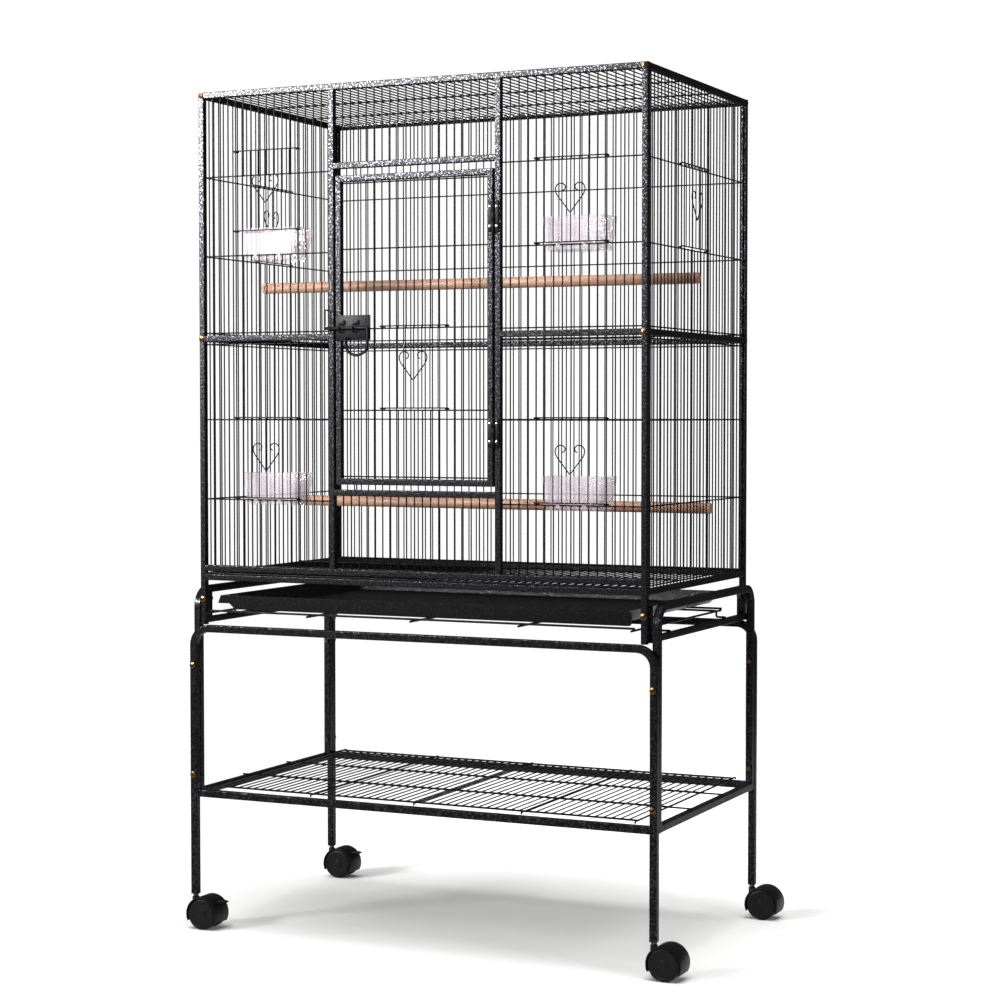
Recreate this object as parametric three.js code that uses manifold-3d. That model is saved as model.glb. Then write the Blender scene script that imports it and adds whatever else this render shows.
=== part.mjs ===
// Bird cage on a wheeled stand. Millimetres, +Z up, front at -Y, floor at z = 0.
// While building, x = 0 and y = 0 are the middle of the cage; the group is shifted at the end
// so that the middle of its whole bounding box is at the origin.
import * as THREE from "three";
import { mergeVertices } from "three/addons/utils/BufferGeometryUtils.js";
import Module from "manifold-3d";

const wasm = await Module();
wasm.setup();

// ---------------------------------------------------------------- driving dimensions
const GAP = 0.3;              // clearance between pieces that rest on each other

// Cage: panels of square tube filled with upright wires
const CAGE_W = 785;           // over the corner posts
const CAGE_D = 460;
const CAGE_TOP = 1370;
const TUBE = 10;              // cage tube, square
const POST_FOOT = 502;        // underside of the corner posts
const FLOOR_RAIL = 585;       // top of the rails that carry the floor grille
const SILL_RAIL = [590, 600]; // front rail above the grille slot
const MID_RAIL = [965, 975];
const WIRE = 2.1;             // cross wires, square in section
const FINE_R = 1.35;          // upright wires, three-sided in section
const WIRE_IN = 2.6;          // cross wires lie this far inside the uprights
const CROSS_Z = [1232.5, 1104, 979, 961, 838, 708];

// Main door and its frame
const JAMB = 141;             // inner face of the door jambs
const HEADER = [1235, 1245];
const SILL = [717, 727];
const DOOR_HALF = 138;
const DOOR_Z = [735, 1224];
const DOOR_CROSS_Z = [1212, 1108, 982, 853, 748];
const BUTT_Z = [[1126, 1174], [795, 841]];
const KNUCKLE = { x: 139.5, y: -232.8, r: 2.5, pin: 1.1 };

// Feeder doors, cups and perches
const LIFT = 36;              // the upper left feeder door stands this far open
const FEEDER_CELLS = 8;       // wire pitches across a feeder opening
const CUP = { w: 105, foot: 91, d: 60, h: 52, wall: 1.8, drop: 8 };
const PERCH_R = 9;

// Stand: inverted U frames of square tube, shelf, tray
const BAR = 12;               // stand tube, square
const LEG_X = 405;            // centre of the front and rear legs
const LEG_Y = 229;
const LEG_FOOT = 55.4;
const U_TOP = 501.5;          // top of the front and rear frames
const SIDE_TOP = 563.5;       // top of the side frames
const BEND = 34;              // outer bend radius
const SIDE_X = 398.3;         // inner face of the side frames
const SIDE_Y = 222.7;         // outer face of the side frame legs
const SHELF = [217, 229.5];
const LOW_RAIL = [503.5, 513.5];
const TRAY = { top: 551, floor: 528, y0: -224, y1: 215, sheet: 1.5 };

// Casters
const TRAIL = 22;
const WHEEL_R = 25.3;
const HOOD_R = 28.8;
const HOOD_W = 20.5;

// ---------------------------------------------------------------- solid helpers
function solid(geometry) {
  const bare = geometry.clone();
  bare.deleteAttribute("normal");
  bare.deleteAttribute("uv");
  const merged = mergeVertices(bare, 1e-4);
  return new wasm.Manifold(new wasm.Mesh({
    numProp: 3,
    vertProperties: new Float32Array(merged.attributes.position.array),
    triVerts: new Uint32Array(merged.index.array),
  }));
}

function surface(body) {
  const mesh = body.getMesh();
  const geometry = new THREE.BufferGeometry();
  geometry.setAttribute("position", new THREE.BufferAttribute(new Float32Array(mesh.vertProperties), 3));
  geometry.setIndex(new THREE.BufferAttribute(new Uint32Array(mesh.triVerts), 1));
  const flat = geometry.toNonIndexed();
  flat.computeVertexNormals();
  return flat;
}

const join = (bodies) => wasm.Manifold.union(bodies);

// Box between two opposite corners, in any order.
function box(a, b) {
  const size = a.map((v, i) => Math.abs(b[i] - v));
  const mid = a.map((v, i) => (v + b[i]) / 2);
  return solid(new THREE.BoxGeometry(...size).translate(...mid));
}

// Round bar from one point to another.
function rod(a, b, r, sides = 12, rEnd = r) {
  const from = new THREE.Vector3(...a);
  const along = new THREE.Vector3(...b).sub(from);
  const geometry = new THREE.CylinderGeometry(rEnd, r, along.length(), sides);
  geometry.translate(0, along.length() / 2, 0);
  const up = new THREE.Vector3(0, 1, 0);
  const turn = new THREE.Quaternion().setFromUnitVectors(up, along.clone().normalize());
  geometry.applyQuaternion(turn).translate(...a);
  return solid(geometry);
}

// Fine straight wire, three-sided so that hundreds of them stay light.
const fineWire = (a, b) => rod(a, b, FINE_R, 3);

// Square wire of side w swept along a smooth path through the points.
function bentWire(points, w, steps) {
  const path = new THREE.CatmullRomCurve3(points.map((p) => new THREE.Vector3(...p)), false, "centripetal");
  const h = w / 2;
  const section = polygon([[-h, -h], [h, -h], [h, h], [-h, h]]);
  return solid(new THREE.ExtrudeGeometry(section, { steps, extrudePath: path, curveSegments: 1 }));
}

// Flat outline (drawn in X and Z) given thickness from y0 to y1.
function plateXZ(shape, y0, y1, curveSegments = 5) {
  const geometry = new THREE.ExtrudeGeometry(shape, { depth: y1 - y0, bevelEnabled: false, curveSegments });
  return solid(geometry.rotateX(Math.PI / 2).translate(0, y1, 0));
}

function polygon(points) {
  return new THREE.Shape(points.map(([x, y]) => new THREE.Vector2(x, y)));
}

// ---------------------------------------------------------------- wall helpers
// A wall is described by u along it, v outwards from its middle plane, and z.
const WALLS = {
  front: (u, v, z) => [u, -(CAGE_D - TUBE) / 2 - v, z],
  rear: (u, v, z) => [u, (CAGE_D - TUBE) / 2 + v, z],
  left: (u, v, z) => [-(CAGE_W - TUBE) / 2 - v, u, z],
  right: (u, v, z) => [(CAGE_W - TUBE) / 2 + v, u, z],
};

function block(wall, u, v, z) {
  return box(WALLS[wall](u[0], v[0], z[0]), WALLS[wall](u[1], v[1], z[1]));
}

const FULL = [-TUBE / 2, TUBE / 2];
const CROSS = [-WIRE_IN - WIRE / 2, -WIRE_IN + WIRE / 2];

// Evenly spaced wire positions between two rails' inner faces.
function spread(from, to, count) {
  const pitch = (to - from) / (count + 1);
  return Array.from({ length: count }, (_, i) => from + pitch * (i + 1));
}

// Upright wires with their ends sunk in the rails; openings cut the wires they span.
function uprights(wall, positions, z, openings = []) {
  const bodies = [];
  for (const u of positions) {
    let low = z[0] - 1;
    const beside = (o) => u < o.u[0] + 1 || u > o.u[1] - 1;
    const across = openings.filter((o) => !beside(o) && o.z[0] > z[0] && o.z[1] < z[1]);
    for (const o of across.sort((p, q) => p.z[0] - q.z[0])) {
      bodies.push(fineWire(WALLS[wall](u, 0, low), WALLS[wall](u, 0, o.z[0] + 1)));
      low = o.z[1] - 1;
    }
    bodies.push(fineWire(WALLS[wall](u, 0, low), WALLS[wall](u, 0, z[1] + 1)));
  }
  return bodies;
}

// Cross wires just inside the uprights, anchored at both ends.
function crossWires(wall, u, heights) {
  return heights.map((z) => block(wall, [u[0] - 1, u[1] + 1], CROSS, [z - WIRE / 2, z + WIRE / 2]));
}

// ---------------------------------------------------------------- materials
const finish = (color, roughness, metalness) => new THREE.MeshStandardMaterial({ color, roughness, metalness });
const FINISHES = {
  hammertone: () => finish(0x2f2e30, 0.5, 0.4),
  steel: () => finish(0xb9bcc0, 0.3, 1),
  zinc: () => finish(0xc2a25a, 0.35, 1),
  nylon: () => finish(0x121213, 0.45, 0),
  clear: () => {
    const plastic = finish(0xead9d6, 0.15, 0);
    plastic.transparent = true;
    plastic.opacity = 0.4;
    return plastic;
  },
  wood: () => finish(0xb9854f, 0.6, 0),
};

const cage = new THREE.Group();
cage.name = "bird_cage_on_stand";

function add(name, body, kind) {
  const mesh = new THREE.Mesh(surface(body), FINISHES[kind]());
  mesh.name = name;
  cage.add(mesh);
}

// ---------------------------------------------------------------- wire layout of the walls
const POST_IN = CAGE_W / 2 - TUBE;
const SIDE_END = CAGE_D / 2 - TUBE - GAP;
const JAMB_OUT = JAMB + TUBE;
const bayWires = spread(JAMB_OUT, POST_IN, 15);
const sideWires = spread(-220, 220, 29);
const doorWires = spread(-DOOR_HALF + TUBE, DOOR_HALF - TUBE, 17);
const bayPitch = bayWires[1] - bayWires[0];
const sidePitch = sideWires[1] - sideWires[0];
const doorPitch = doorWires[1] - doorWires[0];

// Feeder openings: wall, middle, wire pitch, and the cross wires below and above.
const OPENINGS = {
  upper_left: { wall: "front", u: -bayWires[7], pitch: bayPitch, z: [1104, 1232.5] },
  upper_right: { wall: "front", u: bayWires[7], pitch: bayPitch, z: [1104, 1232.5] },
  lower_left: { wall: "front", u: -bayWires[7], pitch: bayPitch, z: [708, 838] },
  lower_right: { wall: "front", u: bayWires[7], pitch: bayPitch, z: [708, 838] },
  main_door: { wall: "front", u: 0, pitch: doorPitch, z: [853, 982] },
  left_side: { wall: "left", u: 0, pitch: sidePitch, z: [1104, 1232.5] },
  right_side: { wall: "right", u: -sidePitch, pitch: sidePitch, z: [1104, 1232.5] },
};

function span(name) {
  const o = OPENINGS[name];
  const half = (FEEDER_CELLS * o.pitch) / 2;
  return { u: [o.u - half, o.u + half], z: o.z };
}

// ---------------------------------------------------------------- front panel
function frontPanel() {
  const parts = [];
  const full = (u, z) => parts.push(block("front", u, FULL, z));
  for (const s of [-1, 1]) {
    full([s * POST_IN, s * CAGE_W / 2], [POST_FOOT, CAGE_TOP]);
    full([s * JAMB, s * JAMB_OUT], [SILL_RAIL[0], CAGE_TOP]);
    const bay = [s * (JAMB_OUT - 1), s * (POST_IN + 1)].sort((a, b) => a - b);
    full(bay, MID_RAIL);
    parts.push(...crossWires("front", [bay[0] + 1, bay[1] - 1], CROSS_Z));
    const cuts = (s < 0 ? ["upper_left", "lower_left"] : ["upper_right", "lower_right"]).map(span);
    const wires = bayWires.map((u) => s * u);
    parts.push(...uprights("front", wires, [MID_RAIL[1], CAGE_TOP - TUBE], cuts));
    parts.push(...uprights("front", wires, [SILL_RAIL[1], MID_RAIL[0]], cuts));
  }
  full([-POST_IN - 1, POST_IN + 1], [CAGE_TOP - TUBE, CAGE_TOP]);
  full([-POST_IN - 1, POST_IN + 1], SILL_RAIL);
  full([-POST_IN - 1, POST_IN + 1], [FLOOR_RAIL - TUBE, FLOOR_RAIL]);
  full([-JAMB - 1, JAMB + 1], HEADER);
  full([-JAMB - 1, JAMB + 1], SILL);
  const middle = spread(-JAMB, JAMB, 19);
  parts.push(...uprights("front", middle, [HEADER[1], CAGE_TOP - TUBE]));
  parts.push(...uprights("front", middle, [SILL_RAIL[1], SILL[0]]));
  // two short stops reach behind the door's free edge from the header and the sill
  const behind = -TUBE / 2;
  for (const [root, tip] of [[[1236, 1243], 1214], [[719, 726], 745]]) {
    parts.push(block("front", [-108, -105], [behind - 2.6, behind + 2], root));
    parts.push(block("front", [-108, -105], [behind - 2.6, behind - 0.4], [root[0], tip]));
  }
  // keeper hook on the outer face of the latch-side jamb, ending just above the bolt
  const keeperX = [-JAMB_OUT - 2.4, -JAMB_OUT + 0.8];
  parts.push(box([keeperX[0], -239.2, 1010.8], [keeperX[1], -222, 1013]));
  parts.push(box([keeperX[0], -239.2, 986.6], [-JAMB_OUT - 0.2, -237, 1013]));
  // holes for the lower post bolts
  const holes = [-1, 1].map((s) => rod([s * 387.5, -240, 543.5], [s * 387.5, -210, 543.5], 2.4, 8));
  return join(parts).subtract(join(holes));
}

// ---------------------------------------------------------------- rear panel
function rearPanel() {
  const parts = [];
  const full = (u, z) => parts.push(block("rear", u, FULL, z));
  for (const s of [-1, 1]) {
    full([s * POST_IN, s * CAGE_W / 2], [POST_FOOT, CAGE_TOP]);
  }
  for (const z of [[CAGE_TOP - TUBE, CAGE_TOP], MID_RAIL, [FLOOR_RAIL - TUBE, FLOOR_RAIL]]) {
    full([-POST_IN - 1, POST_IN + 1], z);
  }
  const wires = spread(-POST_IN, POST_IN, 52);
  parts.push(...uprights("rear", wires, [MID_RAIL[1], CAGE_TOP - TUBE]));
  parts.push(...uprights("rear", wires, [FLOOR_RAIL, MID_RAIL[0]]));
  parts.push(...crossWires("rear", [-POST_IN, POST_IN], CROSS_Z));
  const holes = [-1, 1].map((s) => rod([s * 387.5, 210, 543.5], [s * 387.5, 240, 543.5], 2.4, 8));
  return join(parts).subtract(join(holes));
}

// ---------------------------------------------------------------- side panels
function sidePanel(wall, opening) {
  const parts = [];
  for (const z of [[CAGE_TOP - TUBE, CAGE_TOP], MID_RAIL, [FLOOR_RAIL - TUBE, FLOOR_RAIL]]) {
    parts.push(block(wall, [-SIDE_END, SIDE_END], FULL, z));
  }
  for (const s of [-1, 1]) {
    const edge = [s * (SIDE_END - 3), s * SIDE_END].sort((a, b) => a - b);
    parts.push(block(wall, edge, [CROSS[0] - 0.25, 1.6], [FLOOR_RAIL - 1, CAGE_TOP - TUBE + 1]));
  }
  parts.push(...crossWires(wall, [-SIDE_END + 2, SIDE_END - 2], CROSS_Z));
  const upper = uprights(wall, sideWires, [MID_RAIL[1], CAGE_TOP - TUBE], [span(opening)]);
  const lower = uprights(wall, sideWires, [FLOOR_RAIL, MID_RAIL[0]]);
  return join([join(parts), ...upper, ...lower]);
}

// ---------------------------------------------------------------- flat wire grilles
// Rectangular edge bars, closely spaced wires along Y, and long wires along X on one side.
// layer: heights of the edge bars and the X wires, and the mid height of the Y wires.
function grille(x, y, bar, count, layer, longY) {
  const parts = [];
  const { edge, fine, long } = layer;
  const low = Math.min(edge[0], long[0]);
  const high = Math.max(edge[1], long[1]);
  for (const s of [-1, 1]) {
    const side = [s * x, s * (x - bar)].sort((a, b) => a - b);
    parts.push(box([side[0], y[0], low], [side[1], y[1], high]));
  }
  parts.push(box([-x, y[0], edge[0]], [x, y[0] + bar, edge[1]]));
  parts.push(box([-x, y[1] - bar, edge[0]], [x, y[1], edge[1]]));
  for (const u of spread(-x + bar, x - bar, count)) {
    parts.push(fineWire([u, y[0] + bar - 1, fine], [u, y[1] - bar + 1, fine]));
  }
  for (const v of longY) {
    parts.push(box([-x + bar - 1, v - bar / 2, long[0]], [x - bar + 1, v + bar / 2, long[1]]));
  }
  return parts;
}

function topGrille() {
  const layer = { edge: [1362, 1365.2], fine: 1363.2, long: [1359.1, 1361.8] };
  return join(grille(382.1, [-219.6, 219.6], 3, 52, layer, [-73, 73]));
}

function floorGrille() {
  const layer = { edge: [585.3, 588.4], fine: 586.1, long: [587.7, 589.7] };
  return join(grille(382.1, [-229.4, 223.4], 3, 52, layer, [-74, 74]));
}

function shelfGrille() {
  const layer = { edge: [232.8, 236], fine: 234.2, long: [229.8, 233] };
  const parts = grille(376, [-219, 219], 3.2, 52, layer, [-73, 73]);
  // five thick wires end in a foot on the front and rear rails
  for (const x of [-374.4, -186.4, 0, 186.4, 374.4]) {
    const inner = Math.abs(x) > 300 ? 217 : 0;
    for (const s of [-1, 1]) {
      parts.push(box([x - 1.5, s * inner, 233], [x + 1.5, s * 231, 235.8]));
      parts.push(box([x - 1.4, s * 228, 229.8], [x + 1.4, s * 230.8, 234]));
    }
  }
  // the long wires run out over the side rails
  for (const s of [-1, 1]) {
    for (const y of [-73, 73]) {
      parts.push(box([s * 375, y - 1.4, 230], [s * 409, y + 1.4, 232.8]));
    }
  }
  return join(parts);
}

// Open rack of thick wire that carries the tray; two wires hook over the low side rails.
function trayRack() {
  const parts = [];
  const w = 3.6;
  const top = 527.3;
  for (const y of [-232, 158]) {
    parts.push(box([-374, y - w / 2, top - w], [374, y + w / 2, top]));
  }
  for (const x of [-372, -186, 0, 186, 372]) {
    parts.push(box([x - w / 2, -241, top - 2 * w + 0.4], [x + w / 2, 160, top - w + 0.4]));
  }
  for (const y of [-142, 112]) {
    parts.push(box([-383, y - w / 2, top - w], [383, y + w / 2, top]));
    for (const s of [-1, 1]) {
      parts.push(box([s * 379.4, y - w / 2, 513.8], [s * 383, y + w / 2, top]));
      parts.push(box([s * 379.4, y - w / 2, 513.8], [s * 397, y + w / 2, 513.8 + w]));
    }
  }
  return join(parts);
}

// ---------------------------------------------------------------- slide-out tray
// Folded sheet pan with sloping sides and a wider front plate notched at its lower corners.
function tray() {
  const { top, floor, y0, y1, sheet } = TRAY;
  const outside = plateXZ(polygon([[-334, floor], [334, floor], [358, top], [-358, top]]), y0, y1);
  const cut = polygon([
    [-334 + sheet, floor + sheet], [334 - sheet, floor + sheet],
    [359.5 - sheet, top + 1], [-359.5 + sheet, top + 1],
  ]);
  const inside = plateXZ(cut, y0 + sheet, y1 - sheet);
  const front = plateXZ(polygon([
    [-358, top], [-363, 537], [-334, 537], [-334, floor], [334, floor], [334, 537], [363, 537], [358, top],
  ]), y0 - sheet, y0 + 0.5);
  return join([outside.subtract(inside), front]);
}

// ---------------------------------------------------------------- main door
function mainDoor() {
  const parts = [];
  const full = (u, z) => parts.push(block("front", u, FULL, z));
  for (const s of [-1, 1]) {
    full([s * (DOOR_HALF - TUBE), s * DOOR_HALF], DOOR_Z);
  }
  full([-DOOR_HALF + 1, DOOR_HALF - 1], [DOOR_Z[0], DOOR_Z[0] + TUBE]);
  full([-DOOR_HALF + 1, DOOR_HALF - 1], [DOOR_Z[1] - TUBE, DOOR_Z[1]]);
  const inner = [-DOOR_HALF + TUBE, DOOR_HALF - TUBE];
  parts.push(...uprights("front", doorWires, [DOOR_Z[0] + TUBE, DOOR_Z[1] - TUBE], [span("main_door")]));
  parts.push(...crossWires("front", inner, DOOR_CROSS_Z));
  return join(parts);
}

// Butt hinge: the jamb leaf holds the pin and the outer knuckles, the door leaf the middle one.
function hinge(z, onDoor) {
  const { x, y, r, pin } = KNUCKLE;
  const s = onDoor ? -1 : 1;
  const third = (z[1] - z[0]) / 3;
  const leafY = -CAGE_D / 2 - GAP;
  const parts = [box([x + s * 3, -231.9, z[0]], [x + s * 9.2, leafY, z[1]])];
  const spans = onDoor
    ? [[z[0] + third + GAP, z[1] - third - GAP]]
    : [[z[0], z[0] + third], [z[1] - third, z[1]]];
  for (const [low, high] of spans) {
    parts.push(rod([x, y, low], [x, y, high], r, 10));
    parts.push(box([x, -231.9, low], [x + s * 3.5, leafY, high]));
  }
  if (onDoor) {
    return join(parts).subtract(rod([x, y, z[0]], [x, y, z[1]], pin + 0.25, 8));
  }
  parts.push(rod([x, y, z[0] - 1.2], [x, y, z[1] + 1.2], pin, 8));
  return join(parts);
}

// Latch plate with the two guide straps riveted on it.
function latchPlate() {
  const y = -230.3;
  const parts = [box([-136.5, y - 2, 963.5], [-74.5, y, 1003.5])];
  for (const x of [-127, -102]) {
    parts.push(box([x - 2.5, y - 9.6, 986.3], [x + 2.5, y - 1, 988.6]));
    parts.push(box([x - 2.5, y - 9.6, 977.4], [x + 2.5, y - 1, 979.7]));
    parts.push(box([x - 2.5, y - 10.6, 977.4], [x + 2.5, y - 8.9, 988.6]));
    parts.push(rod([x + 6, y - 1.5, 993], [x + 6, y - 3.2, 993], 2.6, 10));
    parts.push(box([x - 2.5, y - 3.2, 987], [x + 6, y - 1.5, 993.5]));
  }
  return join(parts);
}

// Latch bolt: a round bar whose tail is bent down into a U-shaped pull.
function latchBolt() {
  const y = -235.6;
  const z = 983;
  const tail = bentWire([
    [-80, y, z], [-77.2, y - 0.8, 979], [-76.6, y - 1.8, 968],
    [-78.5, y - 1.8, 953], [-87, y - 1.8, 943.5], [-96.5, y - 1.8, 941],
    [-106, y - 1.8, 943.5], [-114.5, y - 1.8, 953], [-116.4, y - 1.8, 969],
  ], 4.2, 20);
  return join([rod([-154, y, z], [-79, y, z], 2.6, 12), tail]);
}

// ---------------------------------------------------------------- feeder doors
// Small wire guillotine door with a heart; hooked ends run on the wires beside the opening.
function feederDoor(name) {
  const { wall, u: mid, pitch, z } = OPENINGS[name];
  const lift = name === "upper_left" ? LIFT : 0;
  const half = (FEEDER_CELLS * pitch) / 2;
  const low = z[0] + 3.6 + lift;
  const high = z[1] + 3.6 + lift;
  const w = 2.1;
  const out = [1.6, 1.6 + w];
  const parts = [];
  for (const level of [low, high]) {
    const band = [level - w / 2, level + w / 2];
    parts.push(block(wall, [mid - half - 4, mid + half + 4], out, band));
    for (const s of [-1, 1]) {
      const tip = (a, b) => [mid + s * a, mid + s * b].sort((p, q) => p - q);
      parts.push(block(wall, tip(half + 1.9, half + 4), [-3.6, out[1]], band));
      parts.push(block(wall, tip(half - 2.5, half + 4), [-3.6, -1.6], band));
    }
  }
  const middle = (out[0] + out[1]) / 2;
  for (let k = -3; k <= 3; k += 1) {
    const u = mid + k * pitch;
    parts.push(rod(WALLS[wall](u, middle - 0.2, low), WALLS[wall](u, middle - 0.2, high), 1.15, 3));
  }
  // heart: two mirrored wires that start together at the point
  const v = out[1] + 0.95;
  const foot = low + 44;
  const outline = [
    [0, 0], [12, 13], [22.5, 25], [25, 35], [19.5, 43.5], [10.5, 43.5], [4.5, 36], [6, 30.5],
  ];
  for (const s of [-1, 1]) {
    parts.push(bentWire(outline.map(([a, b]) => WALLS[wall](mid + s * a, v, foot + b)), 1.8, 9));
  }
  parts.push(block(wall, [mid - 1.2, mid + 1.2], [out[0] + 0.4, v + 0.8], [foot - 1.6, foot + 1.6]));
  return join(parts);
}

// ---------------------------------------------------------------- feeding cups
// Tapered open cup with two lugs that hook over the opening's lower cross wire.
function cup(name) {
  const { u: mid, z } = OPENINGS[name];
  const base = z[0] - CUP.drop;
  const front = -(CAGE_D - TUBE) / 2 + 4.2;
  const tub = (w, foot, d, z0, z1) => {
    const r = 9;
    const shape = new THREE.Shape();
    shape.moveTo(-w / 2 + r, 0);
    shape.lineTo(w / 2 - r, 0);
    shape.absarc(w / 2 - r, r, r, -Math.PI / 2, 0, false);
    shape.lineTo(w / 2, d - r);
    shape.absarc(w / 2 - r, d - r, r, 0, Math.PI / 2, false);
    shape.lineTo(-w / 2 + r, d);
    shape.absarc(-w / 2 + r, d - r, r, Math.PI / 2, Math.PI, false);
    shape.lineTo(-w / 2, r);
    shape.absarc(-w / 2 + r, r, r, Math.PI, 1.5 * Math.PI, false);
    const settings = { depth: z1 - z0, bevelEnabled: false, curveSegments: 2 };
    const geometry = new THREE.ExtrudeGeometry(shape, settings);
    const p = geometry.attributes.position;
    for (let i = 0; i < p.count; i += 1) {
      const t = p.getZ(i) / (z1 - z0);
      const k = (foot + (w - foot) * t) / w;
      p.setXY(i, p.getX(i) * k, p.getY(i) * (k * 0.5 + 0.5));
    }
    return solid(geometry.translate(mid, front, z0));
  };
  const shell = tub(CUP.w, CUP.foot, CUP.d, base, base + CUP.h);
  const t = CUP.wall;
  const hollow = tub(CUP.w - 2 * t, CUP.foot - 2 * t, CUP.d - 2 * t, base + t, base + CUP.h + 1)
    .translate(0, t, 0);
  const lugs = [];
  for (const s of [-1, 1]) {
    const u = mid + s * 1.5 * OPENINGS[name].pitch;
    lugs.push(box([u - 3, -226.1, z[0] + 1.5], [u + 3, front + 1.5, z[0] + 3.3]));
    lugs.push(box([u - 3, -226.1, z[0] - 4], [u + 3, -224.4, z[0] + 3.3]));
  }
  return join([shell.subtract(hollow), ...lugs]);
}

// Round wooden bar, slotted at both ends to sit on an upright wire of each side panel.
function perch(z, yLeft, yRight) {
  const x = 391;
  const slope = (yRight - yLeft) / 775;
  const at = (px) => [px, (yLeft + yRight) / 2 + slope * px, z];
  const slots = [-1, 1].map((s) => {
    const [cx, cy] = at(s * 387.5);
    return box([cx - s * 2.6, cy - 1.7, z - 12], [cx + s * 6, cy + 1.7, z + 12]);
  });
  return rod(at(-x), at(x), PERCH_R, 16).subtract(join(slots));
}

// ---------------------------------------------------------------- stand frames
// Outline of an inverted U of square tube: half width to its outer face, top, foot.
function arch(half, top, foot) {
  const inner = BEND - BAR;
  const c = half - BEND;
  const shape = new THREE.Shape();
  shape.moveTo(-half, foot);
  shape.lineTo(-half + BAR, foot);
  shape.lineTo(-half + BAR, top - BEND);
  shape.absarc(-c, top - BEND, inner, Math.PI, Math.PI / 2, true);
  shape.lineTo(c, top - BAR);
  shape.absarc(c, top - BEND, inner, Math.PI / 2, 0, true);
  shape.lineTo(half - BAR, foot);
  shape.lineTo(half, foot);
  shape.lineTo(half, top - BEND);
  shape.absarc(c, top - BEND, BEND, 0, Math.PI / 2, false);
  shape.lineTo(-c, top);
  shape.absarc(-c, top - BEND, BEND, Math.PI / 2, Math.PI, false);
  return shape;
}

const STAND_BOLT_Z = [434, 254];

function endFrame(s) {
  const y = s < 0 ? [-LEG_Y - BAR / 2, -LEG_Y + BAR / 2] : [LEG_Y - BAR / 2, LEG_Y + BAR / 2];
  const parts = [plateXZ(arch(LEG_X + BAR / 2, U_TOP, LEG_FOOT), y[0], y[1])];
  parts.push(box([-LEG_X, y[0], SHELF[0]], [LEG_X, y[1], SHELF[1]]));
  const holes = [];
  for (const side of [-1, 1]) {
    const legX = side * LEG_X;
    holes.push(rod([legX, s * LEG_Y, LEG_FOOT - 2], [legX, s * LEG_Y, LEG_FOOT + 22], 3.3, 8));
    for (const z of STAND_BOLT_Z) {
      holes.push(rod([side * 404.7, s * 200, z], [side * 404.7, s * 250, z], 2.4, 8));
    }
  }
  return join(parts).subtract(join(holes));
}

function sideFrame(s) {
  const outline = arch(SIDE_Y, SIDE_TOP, SHELF[0]);
  const flat = plateXZ(outline, 0, BAR).rotate([0, 0, 90]);
  const shift = s > 0 ? SIDE_X + BAR : -SIDE_X;
  const parts = [flat.translate(shift, 0, 0)];
  parts.push(box([s * SIDE_X, -SIDE_Y + 4, SHELF[0]], [s * (SIDE_X + BAR), SIDE_Y - 4, SHELF[1]]));
  parts.push(box([s * 388.3, -219, LOW_RAIL[0]], [s * (SIDE_X + 0.6), 219, LOW_RAIL[1]]));
  const holes = [];
  for (const e of [-1, 1]) {
    parts.push(box([s * 382.5, e * 219.7, LOW_RAIL[1] - 4], [s * 394.5, e * 208, 560]));
    holes.push(rod([s * 387.5, e * 200, 543.5], [s * 387.5, e * 230, 543.5], 2.4, 8));
    for (const z of STAND_BOLT_Z) {
      holes.push(rod([s * 404.7, e * 200, z], [s * 404.7, e * 230, z], 2.4, 8));
    }
  }
  return join(parts).subtract(join(holes));
}

// Pan-head bolt along Y with a nut on its inner end; e is the end of the cage it enters from.
function bolt(x, z, e, head, nut) {
  return join([
    rod([x, e * (head + GAP), z], [x, e * (head + 2.9), z], 4.3, 10, 2.8),
    rod([x, e * (head + 1), z], [x, e * (nut - 5), z], 2.1, 6),
    rod([x, e * (nut - GAP), z], [x, e * (nut - 3.3), z], 4.1, 6),
  ]);
}

// ---------------------------------------------------------------- casters
function casterStem(x, y) {
  return join([
    rod([x, y, 40], [x, y, LEG_FOOT + 18], 2.9, 8),
    rod([x, y, 51.3], [x, y, 54.9], 4.5, 12),
  ]);
}

function casterHood(x, y, braked) {
  const cx = x + TRAIL;
  const sector = (r0, r1, from, to) => {
    const shape = new THREE.Shape();
    shape.absarc(cx, WHEEL_R, r1, from, to, false);
    shape.absarc(cx, WHEEL_R, r0, to, from, true);
    return shape;
  };
  const from = -0.5;
  const to = Math.PI + 0.42;
  const parts = [
    plateXZ(sector(26.4, HOOD_R, from, to), y - HOOD_W, y + HOOD_W, 10),
    plateXZ(sector(10, 27, from + 0.15, to - 0.1), y - 5.4, y + 5.4, 8),
    rod([cx, y - 5.4, WHEEL_R], [cx, y + 5.4, WHEEL_R], 12, 10),
    rod([x, y, 34], [x, y, 51], 5.8, 10),
  ];
  const cuts = [
    rod([cx, y - 10, WHEEL_R], [cx, y + 10, WHEEL_R], 3.5, 8),
    rod([x, y, 39.5], [x, y, 60], 3.3, 8),
  ];
  if (braked) {
    cuts.push(box([x + 35, y - 6, 37], [x + 70, y + 6, 60]));
  }
  return join(parts).subtract(join(cuts));
}

function casterWheels(x, y) {
  const cx = x + TRAIL;
  const parts = [rod([cx, y - 18, WHEEL_R], [cx, y + 18, WHEEL_R], 3.1, 8)];
  for (const s of [-1, 1]) {
    parts.push(rod([cx, y + s * 6.4, WHEEL_R], [cx, y + s * 20, WHEEL_R], WHEEL_R, 24));
  }
  return join(parts);
}

// Foot lever that presses on the wheels from inside the hood.
function brakeLever(x, y) {
  const side = polygon([
    [x + 36, 39.5], [x + 42, 39.5], [x + 50, 43.5], [x + 61, 45.2],
    [x + 62, 47], [x + 54, 49], [x + 47, 47.5], [x + 36, 44.5],
  ]);
  return plateXZ(side, y - 4.8, y + 4.8);
}

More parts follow.
